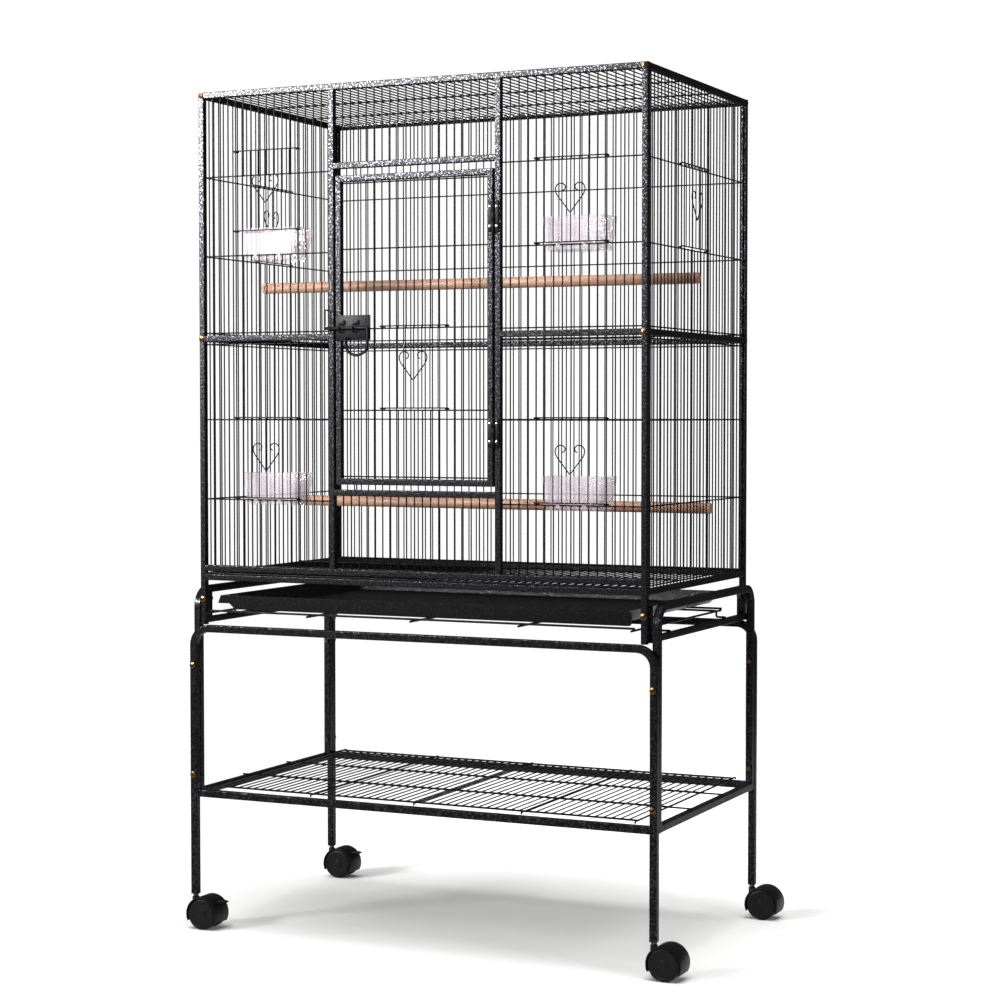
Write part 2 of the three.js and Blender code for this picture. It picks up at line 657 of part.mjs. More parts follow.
// ---------------------------------------------------------------- assembly
add("front_panel", frontPanel(), "hammertone");
add("rear_panel", rearPanel(), "hammertone");
add("left_panel", sidePanel("left", "left_side"), "hammertone");
add("right_panel", sidePanel("right", "right_side"), "hammertone");
add("top_grille", topGrille(), "hammertone");
add("floor_grille", floorGrille(), "hammertone");
add("tray", tray(), "hammertone");
add("tray_rack", trayRack(), "hammertone");
add("main_door", mainDoor(), "hammertone");
add("latch_plate", latchPlate(), "hammertone");
add("latch_bolt", latchBolt(), "steel");
BUTT_Z.forEach((z, i) => {
  const where = i === 0 ? "upper" : "lower";
  add(`hinge_${where}_jamb_leaf`, hinge(z, false), "nylon");
  add(`hinge_${where}_door_leaf`, hinge(z, true), "nylon");
});
for (const name of Object.keys(OPENINGS)) {
  add(`feeder_door_${name}`, feederDoor(name), "hammertone");
}
for (const name of ["upper_left", "upper_right", "lower_left", "lower_right"]) {
  add(`cup_${name}`, cup(name), "clear");
}
add("perch_upper", perch(1062, -2 * sidePitch, 0), "wood");
add("perch_lower", perch(695.5, 6 * sidePitch, 4 * sidePitch), "wood");

add("stand_front_frame", endFrame(-1), "hammertone");
add("stand_rear_frame", endFrame(1), "hammertone");
add("stand_left_frame", sideFrame(-1), "hammertone");
add("stand_right_frame", sideFrame(1), "hammertone");
add("shelf_grille", shelfGrille(), "hammertone");

const CORNERS = [
  ["front_left", -1, -1], ["front_right", 1, -1], ["rear_left", -1, 1], ["rear_right", 1, 1],
];
for (const [corner, sx, sy] of CORNERS) {
  add(`post_bolt_${corner}`, bolt(sx * 387.5, 543.5, sy, 230, 208), "zinc");
  add(`leg_bolt_upper_${corner}`, bolt(sx * 404.7, STAND_BOLT_Z[0], sy, 235, 210.7), "zinc");
  add(`leg_bolt_lower_${corner}`, bolt(sx * 404.7, STAND_BOLT_Z[1], sy, 235, 210.7), "zinc");
  const x = sx * LEG_X;
  const y = sy * LEG_Y;
  add(`caster_stem_${corner}`, casterStem(x, y), "steel");
  add(`caster_hood_${corner}`, casterHood(x, y, sx < 0), "nylon");
  add(`caster_wheels_${corner}`, casterWheels(x, y), "nylon");
  if (sx < 0) {
    add(`brake_lever_${corner}`, brakeLever(x, y), "nylon");
  }
}

// The casters trail to the right, so the box's middle is not the cage's middle.
const bounds = new THREE.Box3().setFromObject(cage);
const centre = bounds.getCenter(new THREE.Vector3());
cage.position.set(-centre.x, -centre.y, -bounds.min.z);

export default cage;
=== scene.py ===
from math import pi, radians, sqrt, tan

import bmesh
import bpy
from mathutils import Matrix, Vector


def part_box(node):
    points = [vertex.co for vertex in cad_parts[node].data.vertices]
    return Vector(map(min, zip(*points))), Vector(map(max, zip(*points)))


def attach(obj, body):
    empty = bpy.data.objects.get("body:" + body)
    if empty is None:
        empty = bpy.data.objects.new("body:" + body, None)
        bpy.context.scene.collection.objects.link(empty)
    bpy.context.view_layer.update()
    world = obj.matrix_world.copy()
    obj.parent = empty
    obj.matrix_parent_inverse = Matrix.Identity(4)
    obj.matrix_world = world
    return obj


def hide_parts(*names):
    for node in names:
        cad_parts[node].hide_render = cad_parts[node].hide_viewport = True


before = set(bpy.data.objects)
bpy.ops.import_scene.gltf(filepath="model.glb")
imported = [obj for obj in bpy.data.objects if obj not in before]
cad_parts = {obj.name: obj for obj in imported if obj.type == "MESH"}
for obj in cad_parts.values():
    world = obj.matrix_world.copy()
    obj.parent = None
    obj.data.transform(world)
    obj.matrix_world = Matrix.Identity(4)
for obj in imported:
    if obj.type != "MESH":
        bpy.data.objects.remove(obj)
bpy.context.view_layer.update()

# ---------------------------------------------------------------- front wall
# Welded steel grid: square tube posts, jambs and rails, filled with straight drawn wire.
# Everything is sprayed with black hammertone paint, whose dark aluminium flakes only shine
# where a lamp is mirrored in them. Each piece is modelled in millimetres about the cage's middle.
rear_low, rear_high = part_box("rear_panel")
CAGE_MIDDLE = Vector(((rear_low.x + rear_high.x) / 2, 0, 0))
POST_X = 387.5
WALL_Y = 225.0
POST_INNER = 382.5
JAMB_X = 146
CAGE_TOP = 1370.0
TOP_RAIL_Z = 1365
MID_RAIL_Z = 970
LOW_RAIL_Z = 580
RAIL = 10.0
WIRE_R = 1.15
CROSS_HEIGHTS = (1232.5, 1104, 979, 961, 838, 708)


def linear(colour):
    """An sRGB hex colour as the linear values a shader takes."""
    parts = [int(colour[i : i + 2], 16) / 255 for i in (1, 3, 5)]
    return (*[c / 12.92 if c <= 0.04045 else ((c + 0.055) / 1.055) ** 2.4 for c in parts], 1.0)


def add(tree, kind, values=(), **settings):
    """Adds a node, sets it up, and links or fills its inputs."""
    node = tree.nodes.new(kind)
    for key, value in settings.items():
        setattr(node, key, value)
    for socket, value in dict(values).items():
        if isinstance(value, bpy.types.NodeSocket):
            tree.links.new(value, node.inputs[socket])
        else:
            node.inputs[socket].default_value = value
    return node


def start_material(name):
    """An empty material, with its tree and the object coordinates that its patterns read."""
    material = bpy.data.materials.new(name)
    material.use_nodes = True
    tree = material.node_tree
    tree.nodes.clear()
    place = add(tree, "ShaderNodeTexCoord").outputs["Object"]
    return material, tree, place


def finish_material(tree, values):
    """Puts the surface shader on, with its sockets filled."""
    shader = add(tree, "ShaderNodeBsdfPrincipled", values)
    add(tree, "ShaderNodeOutputMaterial", {"Surface": shader.outputs["BSDF"]})


def hammertone_paint(name, black, flake_colour, share, gloss):
    """Hammertone powder coat: black enamel veins round islands of leafing aluminium flake."""
    material, tree, place = start_material(name)
    veins = add(
        tree,
        "ShaderNodeTexNoise",
        {"Vector": place, "Scale": 300.0, "Detail": 2.0, "Roughness": 0.7},
    )
    island = add(
        tree,
        "ShaderNodeMapRange",
        {"Value": veins.outputs["Fac"], "From Min": share, "From Max": share + 0.06},
    )
    patch = add(tree, "ShaderNodeTexNoise", {"Vector": place, "Scale": 14.0, "Detail": 2.0})
    ground = add(
        tree,
        "ShaderNodeMix",
        {0: patch.outputs["Fac"], 6: linear(black[0]), 7: linear(black[1])},
        data_type="RGBA",
    )
    colour = add(
        tree,
        "ShaderNodeMix",
        {0: island.outputs["Result"], 6: ground.outputs[2], 7: linear(flake_colour)},
        data_type="RGBA",
    )
    rough = add(
        tree,
        "ShaderNodeMapRange",
        {"Value": island.outputs["Result"], "To Min": gloss + 0.12, "To Max": gloss},
    )
    dimples = add(
        tree,
        "ShaderNodeBump",
        {"Height": veins.outputs["Fac"], "Strength": 0.5, "Distance": 0.0004},
    )
    finish_material(
        tree,
        {
            "Base Color": colour.outputs[2],
            "Metallic": island.outputs["Result"],
            "Roughness": rough.outputs["Result"],
            "Specular IOR Level": 0.09,
            "Specular Tint": (0.45, 0.45, 0.46, 1.0),
            "Normal": dimples.outputs["Normal"],
            "Coat Weight": 0.03,
            "Coat Roughness": 0.15,
        },
    )
    return material


tube_paint = hammertone_paint("hammertone_on_tube", ("#050506", "#0b0a0c"), "#36363a", 0.525, 0.27)
wire_paint = hammertone_paint("hammertone_on_wire", ("#050506", "#0a090a"), "#1a1a1c", 0.55, 0.36)


def spot(wall, u, v, z):
    """A point on a wall: u along it, v outwards from its middle plane."""
    if wall == "front":
        return Vector((u, -WALL_Y - v, z))
    if wall == "rear":
        return Vector((u, WALL_Y + v, z))
    if wall == "left":
        return Vector((-POST_X - v, u, z))
    return Vector((POST_X + v, u, z))


def loop_of(corner):
    """The closed ring of edges that a corner belongs to."""
    edges = [corner.link_edges[0]]
    at = edges[0].other_vert(corner)
    while at != corner:
        edge = at.link_edges[0] if at.link_edges[0] != edges[-1] else at.link_edges[1]
        edges.append(edge)
        at = edge.other_vert(at)
    return edges


def push(bm, ring, move):
    """Extrudes a ring of edges and moves the new ring on."""
    made = bmesh.ops.extrude_edge_only(bm, edges=ring)["geom"]
    corners = [g for g in made if isinstance(g, bmesh.types.BMVert)]
    bmesh.ops.translate(bm, verts=corners, vec=move)
    return [
        g
        for g in made
        if isinstance(g, bmesh.types.BMEdge) and g.verts[0] in corners and g.verts[1] in corners
    ]


def draw(bm, ring, points, bend=None, steps=4):
    """Draws a ring along straight runs and spins it round each corner, as bar is bent."""
    here = Vector(points[0])
    for i in range(1, len(points)):
        corner = Vector(points[i])
        back = corner - Vector(points[i - 1])
        if i == len(points) - 1:
            return push(bm, ring, corner - here)
        onward = Vector(points[i + 1]) - corner
        angle = back.angle(onward)
        along = back.normalized()
        setback = bend * tan(angle / 2) if bend else 0.46 * min(back.length, onward.length)
        radius = setback / tan(angle / 2)
        tangent = corner - along * setback
        ring = push(bm, ring, tangent - here)
        axis = along.cross(onward).normalized()
        spun = bmesh.ops.spin(
            bm,
            geom=ring,
            cent=tangent + axis.cross(along) * radius,
            axis=axis,
            dvec=(0, 0, 0),
            angle=angle,
            steps=steps,
            use_merge=False,
            use_duplicate=False,
        )
        ring = [g for g in spun["geom_last"] if isinstance(g, bmesh.types.BMEdge)]
        here = corner + onward.normalized() * setback
    return ring


def across(along, side=None):
    """A turn that stands an outline square across a run."""
    z = Vector(along).normalized()
    x = Vector(side).normalized() if side else z.orthogonal().normalized()
    return Matrix((x, z.cross(x), z)).transposed().to_4x4()


def tube(bm, points, width, side, bend=None, steps=6):
    """Square tube with rounded corners, drawn along the points; side is the way one face looks."""
    turn = Matrix.Translation(points[0]) @ across(Vector(points[1]) - Vector(points[0]), side)
    corners = bmesh.ops.create_circle(
        bm, segments=4, radius=width / sqrt(2), matrix=turn @ Matrix.Rotation(pi / 4, 4, "Z")
    )["verts"]
    rounded = bmesh.ops.bevel(
        bm,
        geom=corners,
        offset=width * 0.13,
        offset_type="OFFSET",
        segments=3,
        profile=0.5,
        affect="VERTICES",
        material=-1,
    )
    first = loop_of(rounded["verts"][0])
    last = draw(bm, first, points, bend, steps)
    bmesh.ops.edgeloop_fill(bm, edges=first)
    bmesh.ops.edgeloop_fill(bm, edges=last)


def wire(bm, points, radius=WIRE_R, bend=None, sides=8, steps=4):
    """Round wire along the points; a straight one is a plain bar."""
    a, b = Vector(points[0]), Vector(points[1])
    if len(points) == 2:
        bmesh.ops.create_cone(
            bm,
            cap_ends=True,
            segments=sides,
            radius1=radius,
            radius2=radius,
            depth=(b - a).length,
            matrix=Matrix.Translation((a + b) / 2) @ across(b - a),
        )
        return
    corners = bmesh.ops.create_circle(
        bm, segments=sides, radius=radius, matrix=Matrix.Translation(a) @ across(b - a)
    )["verts"]
    first = loop_of(corners[0])
    last = draw(bm, first, points, bend, steps)
    bmesh.ops.edgeloop_fill(bm, edges=first)
    bmesh.ops.edgeloop_fill(bm, edges=last)


def hand_over(bm, name, body, materials, nodes, even=False, crease=50):
    """Turns finished mesh work into a piece: metres, normals out, smooth skin, body and finish."""
    bmesh.ops.recalc_face_normals(bm, faces=bm.faces)
    bm.transform(Matrix.Translation(CAGE_MIDDLE) @ Matrix.Scale(0.001, 4))
    mesh = bpy.data.meshes.new(name)
    bm.to_mesh(mesh)
    bm.free()
    mesh.polygons.foreach_set("use_smooth", [True] * len(mesh.polygons))
    mesh.set_sharp_from_angle(angle=radians(crease))
    piece = bpy.data.objects.new(name, mesh)
    bpy.context.scene.collection.objects.link(piece)
    for material in materials:
        mesh.materials.append(material)
    if even:
        piece.modifiers.new("even_normals", "WEIGHTED_NORMAL").keep_sharp = True
    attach(piece, body)
    if nodes:
        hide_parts(*nodes)
    return piece


def spread(low, high, count):
    """Evenly spaced places between two rails."""
    return [low + (high - low) / (count + 1) * (i + 1) for i in range(count)]


BAY_WIRES = spread(151, POST_INNER, 15)
SIDE_WIRES = spread(-220, 220, 29)
DOOR_WIRES = spread(-128, 128, 17)
BAY_PITCH = BAY_WIRES[1] - BAY_WIRES[0]
SIDE_PITCH = SIDE_WIRES[1] - SIDE_WIRES[0]
DOOR_PITCH = DOOR_WIRES[1] - DOOR_WIRES[0]
UPPER_OPENING = (1104, 1232.5)
LOWER_OPENING = (708, 838)
DOOR_OPENING = (853, 982)
FEEDERS = {
    "upper_left": ("front", -BAY_WIRES[7], BAY_PITCH, *UPPER_OPENING),
    "upper_right": ("front", BAY_WIRES[7], BAY_PITCH, *UPPER_OPENING),
    "lower_left": ("front", -BAY_WIRES[7], BAY_PITCH, *LOWER_OPENING),
    "lower_right": ("front", BAY_WIRES[7], BAY_PITCH, *LOWER_OPENING),
    "main_door": ("front", 0, DOOR_PITCH, *DOOR_OPENING),
    "left_side": ("left", 0, SIDE_PITCH, *UPPER_OPENING),
    "right_side": ("right", -SIDE_PITCH, SIDE_PITCH, *UPPER_OPENING),
}


def uprights(bm, wall, places, low, high, cuts=()):
    """Upright wires from rail to rail, left out across the feeder openings."""
    for u in places:
        start = low - 0.8
        for name in cuts:
            _, mid, pitch, z0, z1 = FEEDERS[name]
            if abs(u - mid) < 4 * pitch - 1 and low < z0 and z1 < high:
                wire(bm, [spot(wall, u, 0, start), spot(wall, u, 0, z0 + 1)])
                start = z1 - 1
        wire(bm, [spot(wall, u, 0, start), spot(wall, u, 0, high + 0.8)])


def cross_wires(bm, wall, low, high, heights):
    """Cross wires welded to the inside of the uprights."""
    for z in heights:
        wire(bm, [spot(wall, low - 0.8, -2.2, z), spot(wall, high + 0.8, -2.2, z)])


OUT_Y = (0, -1, 0)
bm = bmesh.new()
for side in (-1, 1):
    tube(bm, [(side * POST_X, -WALL_Y, 502), (side * POST_X, -WALL_Y, CAGE_TOP)], RAIL, OUT_Y)
    tube(bm, [(side * JAMB_X, -WALL_Y, 599.5), (side * JAMB_X, -WALL_Y, 1360.5)], RAIL, OUT_Y)
    middle_rail = [(side * 150.5, -WALL_Y, MID_RAIL_Z), (side * 383, -WALL_Y, MID_RAIL_Z)]
    tube(bm, middle_rail, RAIL, OUT_Y)
for z in (TOP_RAIL_Z, 595, LOW_RAIL_Z):
    tube(bm, [(-383, -WALL_Y, z), (383, -WALL_Y, z)], RAIL, OUT_Y)
for z in (1240, 722):
    tube(bm, [(-141.5, -WALL_Y, z), (141.5, -WALL_Y, z)], RAIL, OUT_Y)
hook = [
    (-150.5, -WALL_Y, 1011.9), (-152.3, -231, 1011.9), (-152.3, -238.1, 1011.9),
    (-152.3, -238.1, 987)
]
wire(bm, hook, 1.15, 1.6)
for root, tip in ((1239, 1214), (722, 745)):
    wire(bm, [(-106.5, -222, root), (-106.5, -218.6, root), (-106.5, -218.6, tip)], 1.2, 1.4)
hand_over(
    bm, "front_posts_and_rails", "cage_and_stand", [tube_paint],
    ["front_panel"], even=True
)

bm = bmesh.new()
for side in (-1, 1):
    places = [side * u for u in BAY_WIRES]
    cuts = ("lower_left", "upper_left") if side < 0 else ("lower_right", "upper_right")
    uprights(bm, "front", places, 975, 1360, cuts[1:])
    uprights(bm, "front", places, 600, 965, cuts[:1])
    low, high = sorted((side * 151, side * POST_INNER))
    cross_wires(bm, "front", low, high, CROSS_HEIGHTS)
uprights(bm, "front", spread(-141, 141, 19), 1245, 1360)
uprights(bm, "front", spread(-141, 141, 19), 600, 717)
hand_over(bm, "front_wires", "cage_and_stand", [wire_paint], [])

# ---------------------------------------------------------------- rear wall
# The same welded grid without a door: two posts, three rails and 52 upright wires,
# with the cross wires on the inside.
bm = bmesh.new()
for side in (-1, 1):
    tube(bm, [(side * POST_X, WALL_Y, 502), (side * POST_X, WALL_Y, CAGE_TOP)], RAIL, OUT_Y)
for z in (TOP_RAIL_Z, MID_RAIL_Z, LOW_RAIL_Z):
    tube(bm, [(-383, WALL_Y, z), (383, WALL_Y, z)], RAIL, OUT_Y)
hand_over(
    bm, "rear_posts_and_rails", "cage_and_stand", [tube_paint], ["rear_panel"],
    even=True
)

bm = bmesh.new()
REAR_WIRES = spread(-POST_INNER, POST_INNER, 52)
uprights(bm, "rear", REAR_WIRES, 975, 1360)
uprights(bm, "rear", REAR_WIRES, 585, 965)
cross_wires(bm, "rear", -POST_INNER, POST_INNER, CROSS_HEIGHTS)
hand_over(bm, "rear_wires", "cage_and_stand", [wire_paint], [])

# ---------------------------------------------------------------- side walls
# Wire frames that slot between the posts: three rails of square tube, a flat edge strip at
# each end, and 29 upright wires. Each has one feeder opening near the top.
for wall in ("left", "right"):
    bm = bmesh.new()
    for z in (TOP_RAIL_Z, MID_RAIL_Z, LOW_RAIL_Z):
        tube(bm, [spot(wall, -219.6, 0, z), spot(wall, 219.6, 0, z)], RAIL, (1, 0, 0))
    for end in (-218.3, 218.3):
        tube(bm, [spot(wall, end, -0.9, 584.5), spot(wall, end, -0.9, 1360.5)], 2.8, (1, 0, 0))
    name = f"{wall}_panel"
    hand_over(
        bm, f"{wall}_rails", "cage_and_stand", [tube_paint], [name], even=True
    )
    bm = bmesh.new()
    uprights(bm, wall, SIDE_WIRES, 975, 1360, [f"{wall}_side"])
    uprights(bm, wall, SIDE_WIRES, 585, 965)
    cross_wires(bm, wall, -217, 217, CROSS_HEIGHTS)
    hand_over(bm, f"{wall}_wires", "cage_and_stand", [wire_paint], [])

# ---------------------------------------------------------------- top, floor and shelf grilles
# Flat welded mesh: an edge wire all round, 52 wires from front to rear, and two long wires
# welded across them. The top one is fixed, the floor one slides out, the shelf one lies on
# the stand's rails by five thick wires with turned-down feet.


def grille(bm, half_x, front, rear, z_fine, z_long, long_y, edge_r):
    """An edge frame, fine wires front to rear, and long wires on one side of them."""
    for s in (-1, 1):
        wire(
            bm, [(s * (half_x - edge_r), front, z_fine), (s * (half_x - edge_r), rear, z_fine)],
            edge_r
        )
    for y in (front + edge_r, rear - edge_r):
        wire(bm, [(-half_x + edge_r, y, z_fine), (half_x - edge_r, y, z_fine)], edge_r)
    for x in spread(-half_x + 3, half_x - 3, 52):
        wire(bm, [(x, front + edge_r, z_fine), (x, rear - edge_r, z_fine)])
    for y in long_y:
        wire(bm, [(-half_x + edge_r, y, z_long), (half_x - edge_r, y, z_long)], 1.35)


bm = bmesh.new()
grille(bm, 382, -219.5, 219.5, 1363.4, 1361.1, (-73, 73), 1.6)
hand_over(bm, "top_mesh", "cage_and_stand", [wire_paint], ["top_grille"])

bm = bmesh.new()
grille(bm, 382, -229.3, 223.3, 586.9, 588.6, (-74, 74), 1.5)
hand_over(bm, "floor_mesh", "floor_grille", [wire_paint], ["floor_grille"])

bm = bmesh.new()
grille(bm, 376, -219, 219, 234.3, 231.8, (-73, 73), 1.6)
for x in (-374.4, -186.4, 0, 186.4, 374.4):
    wire(
        bm, [(x, -229.4, 231.2), (x, -229.4, 234.3), (x, 229.4, 234.3), (x, 229.4, 231.2)], 1.45,
        1.6
    )
for y in (-73, 73):
    wire(bm, [(-409, y, 231.2), (409, y, 231.2)], 1.4)
hand_over(bm, "shelf_mesh", "cage_and_stand", [wire_paint], ["shelf_grille"])

# ---------------------------------------------------------------- tray rack and tray
# The rack is an open ladder of thick wire hooked over the two low side rails; the tray is a
# folded pan of thin painted sheet with sloping ends, and its front plate runs on at the right.
bm = bmesh.new()
for y in (-232, 158):
    wire(bm, [(-374, y, 525.5), (374, y, 525.5)], 1.8)
for x in (-372, -186, 0, 186, 372):
    wire(bm, [(x, -241, 522.3), (x, 160, 522.3)], 1.8)
for y in (-142, 112):
    ends = [(-397, y, 515.6), (-381.2, y, 515.6), (-381.2, y, 525.5)]
    wire(bm, ends + [(-x, y, z) for x, _, z in reversed(ends)], 1.8, 2.4)
hand_over(bm, "tray_rack_wires", "cage_and_stand", [wire_paint], ["tray_rack"])

sheet_paint = hammertone_paint("hammertone_on_sheet", ("#050505", "#080809"), "#232325", 0.55, 0.3)
TRAY_FRONT = -224
TRAY_REAR = 215
SHEET = 0.8
bm = bmesh.new()
pan = bmesh.ops.create_grid(bm, x_segments=1, y_segments=1, size=1)["verts"]
bmesh.ops.scale(bm, vec=(333.2, (TRAY_REAR - TRAY_FRONT) / 2 - SHEET, 1), verts=pan)
bmesh.ops.translate(bm, vec=(0, (TRAY_REAR + TRAY_FRONT) / 2, 528.8), verts=pan)
walls = push(bm, list(bm.edges), (0, 0, 21.4))
for edge in walls:
    for v in edge.verts:
        v.co.x = 357.2 if v.co.x > 0 else -357.2
bmesh.ops.bevel(
    bm,
    geom=[e for e in bm.edges if not e.is_boundary],
    offset=2.2,
    offset_type="OFFSET",
    segments=3,
    profile=0.5,
    affect="EDGES",
    material=-1,
)
bmesh.ops.recalc_face_normals(bm, faces=bm.faces)
bmesh.ops.solidify(bm, geom=bm.faces[:] + bm.edges[:] + bm.verts[:], thickness=-SHEET)
front_plate = [(-333.6, 528.3), (366, 528.3), (366, 550.6), (-333.6, 550.6)]
left_wing = [(-332.5, 550.4), (-357.5, 550.4), (-362.5, 537.6), (-332.5, 537.6)]
for outline, y, rounding in ((front_plate, -1.45, 4.5), (left_wing, -0.55, 0.9)):
    corners = [bm.verts.new((x, TRAY_FRONT + y, z)) for x, z in outline]
    bm.faces.new(corners)
    rounded = bmesh.ops.bevel(
        bm,
        geom=corners,
        offset=rounding,
        offset_type="OFFSET",
        segments=4,
        profile=0.5,
        affect="VERTICES",
        material=-1,
    )
    face = rounded["verts"][0].link_faces[0]
    thick = bmesh.ops.extrude_face_region(bm, geom=[face])["geom"]
    back = [g for g in thick if isinstance(g, bmesh.types.BMVert)]
    bmesh.ops.translate(bm, vec=(0, 1.0, 0), verts=back)
# the hem folded back along the front plate's top edge
wire(bm, [(-357, TRAY_FRONT - 0.5, 550.2), (357, TRAY_FRONT - 0.5, 550.2)], 0.9)
hand_over(bm, "tray_pan", "tray", [sheet_paint], ["tray"], crease=35)

# ---------------------------------------------------------------- main door
# A rectangle of the same square tube with 17 upright and five cross wires, and a feeder
# opening between the third and fourth cross wires. It hangs on two butt hinges at its right.
bm = bmesh.new()
for side in (-1, 1):
    tube(bm, [(side * 133, -WALL_Y, 735), (side * 133, -WALL_Y, 1224)], RAIL, OUT_Y)
for z in (740, 1219):
    tube(bm, [(-128.5, -WALL_Y, z), (128.5, -WALL_Y, z)], RAIL, OUT_Y)
hand_over(bm, "door_frame", "main_door", [tube_paint], ["main_door"], even=True)

bm = bmesh.new()
uprights(bm, "front", DOOR_WIRES, 745, 1214, ["main_door"])
cross_wires(bm, "front", -128, 128, (1212, 1108, 982, 853, 748))
hand_over(bm, "door_wires", "main_door", [wire_paint], [])

# ---------------------------------------------------------------- hinges
# Black pressed butt hinges: the jamb leaf carries the pin and the outer knuckles, the door
# leaf the middle one. Each leaf is held by two zinc-plated pan-head screws.
# This black lacquer is the real colour of the hinges, latch and rivets; further down it also lines
# the screw heads' cross recesses as painted shade.
material, tree, place = start_material("black_lacquered_hinge_steel_and_recess_shade")
drift = add(tree, "ShaderNodeTexNoise", {"Vector": place, "Scale": 240.0, "Detail": 3.0})
colour = add(
    tree,
    "ShaderNodeMix",
    {0: drift.outputs["Fac"], 6: linear("#060607"), 7: linear("#121214")},
    data_type="RGBA",
)
rough = add(
    tree, "ShaderNodeMapRange", {"Value": drift.outputs["Fac"], "To Min": 0.34, "To Max": 0.5}
)
peel = add(
    tree, "ShaderNodeBump", {"Height": drift.outputs["Fac"], "Strength": 0.2, "Distance": 0.0003}
)
finish_material(
    tree,
    {
        "Base Color": colour.outputs[2],
        "Roughness": rough.outputs["Result"],
        "Specular IOR Level": 0.05,
        "Normal": peel.outputs["Normal"],
    },
)
hinge_black_and_recess_shade = material

# Zinc plate: mid grey metal, faintly mottled by the plating bath, satin from handling.
material, tree, place = start_material("bright_zinc_plate")
mottle = add(
    tree, "ShaderNodeTexNoise", {"Vector": place, "Scale": 260.0, "Detail": 4.0, "Roughness": 0.6}
)
colour = add(
    tree,
    "ShaderNodeMix",
    {0: mottle.outputs["Fac"], 6: linear("#3c3e41"), 7: linear("#74767a")},
    data_type="RGBA",
)
rough = add(
    tree, "ShaderNodeMapRange", {"Value": mottle.outputs["Fac"], "To Min": 0.2, "To Max": 0.42}
)
wear = add(
    tree, "ShaderNodeBump", {"Height": mottle.outputs["Fac"], "Strength": 0.12, "Distance": 0.0003}
)
finish_material(
    tree,
    {
        "Base Color": colour.outputs[2],
        "Metallic": 1.0,
        "Roughness": rough.outputs["Result"],
        "Normal": wear.outputs["Normal"],
    },
)
bright_zinc = material


def slab(bm, low, high, edge):
    """A pressed plate between two corners, its edges rolled over."""
    low, high = Vector(low), Vector(high)
    box = bmesh.ops.create_cube(bm, size=1)["verts"]
    bmesh.ops.scale(bm, vec=high - low, verts=box)
    bmesh.ops.translate(bm, vec=(low + high) / 2, verts=box)
    rims = []
    for v in box:
        rims += [e for e in v.link_edges if e not in rims]
    bmesh.ops.bevel(
        bm,
        geom=rims,
        offset=edge,
        offset_type="OFFSET",
        segments=2,
        profile=0.5,
        affect="EDGES",
        material=-1,
    )


def lathe(bm, profile, centre, axis, steps=16):
    """Spins a profile of (radius, height) about an axis; a radius of nought closes the end."""
    stand = Matrix.Translation(centre) @ across(axis)
    points = [bm.verts.new(stand @ Vector((r, 0, h))) for r, h in profile]
    edges = [bm.edges.new(pair) for pair in zip(points, points[1:])]
    spun = bmesh.ops.spin(
        bm,
        geom=points + edges,
        cent=centre,
        axis=Vector(axis).normalized(),
        dvec=(0, 0, 0),
        angle=2 * pi,
        steps=steps,
        use_merge=True,
        use_duplicate=False,
    )
    touched = [v for v in bm.verts if v.is_valid and (v.co - Vector(centre)).length < 200]
    bmesh.ops.remove_doubles(bm, verts=touched, dist=0.0005)


def pan_head(bm, centre, out, radius, height, painted_recess_shade=0):
    """A small grid pulled round, its middle cross pressed in; painted_recess_shade is the material
    slot of that cross, whose colour is painted shade in the recess.
    """
    turn = Matrix.Translation(centre) @ across(out)
    made = bmesh.ops.create_grid(bm, x_segments=5, y_segments=5, size=1)["verts"]
    stations = (-1.0, -0.6, -0.17, 0.17, 0.6, 1.0)
    for v in made:
        column, row = round((v.co.x + 1) * 2.5), round((v.co.y + 1) * 2.5)
        v.co.x, v.co.y = stations[column], stations[row]
        if column in (0, 5) or row in (0, 5):
            v.co = v.co.normalized()
        v.co.z = height * (1 - 0.35 * min(v.co.length, 1) ** 2)
        v.co.x *= radius
        v.co.y *= radius
    faces = []
    for v in made:
        faces += [f for f in v.link_faces if f not in faces]
    reach = 0.56 * radius
    cross = [
        f
        for f in faces
        if min(abs(f.calc_center_median().x), abs(f.calc_center_median().y)) < 0.1 * radius
        and max(abs(f.calc_center_median().x), abs(f.calc_center_median().y)) < reach
    ]
    rim = [e for f in faces for e in f.edges if e.is_boundary]
    skirt = push(bm, rim, (0, 0, -height * 0.65))
    low = []
    for e in skirt:
        low += [v for v in e.verts if v not in low]
    for v in low:
        v.co.z = 0
    sunk = bmesh.ops.extrude_face_region(bm, geom=cross)["geom"]
    floor_corners = [g for g in sunk if isinstance(g, bmesh.types.BMVert)]
    bmesh.ops.translate(bm, verts=floor_corners, vec=(0, 0, -height * 0.5))
    # The sunk cross takes its own material slot; for the bolts and panel screws that slot is black
    # lacquer, painted shade in the recess.
    for f in sunk:
        if isinstance(f, bmesh.types.BMFace):
            f.material_index = painted_recess_shade
    bmesh.ops.delete(bm, geom=cross, context="FACES_ONLY")
    everything = made + low + floor_corners
    bmesh.ops.transform(bm, matrix=turn, verts=[v for v in everything if v.is_valid])


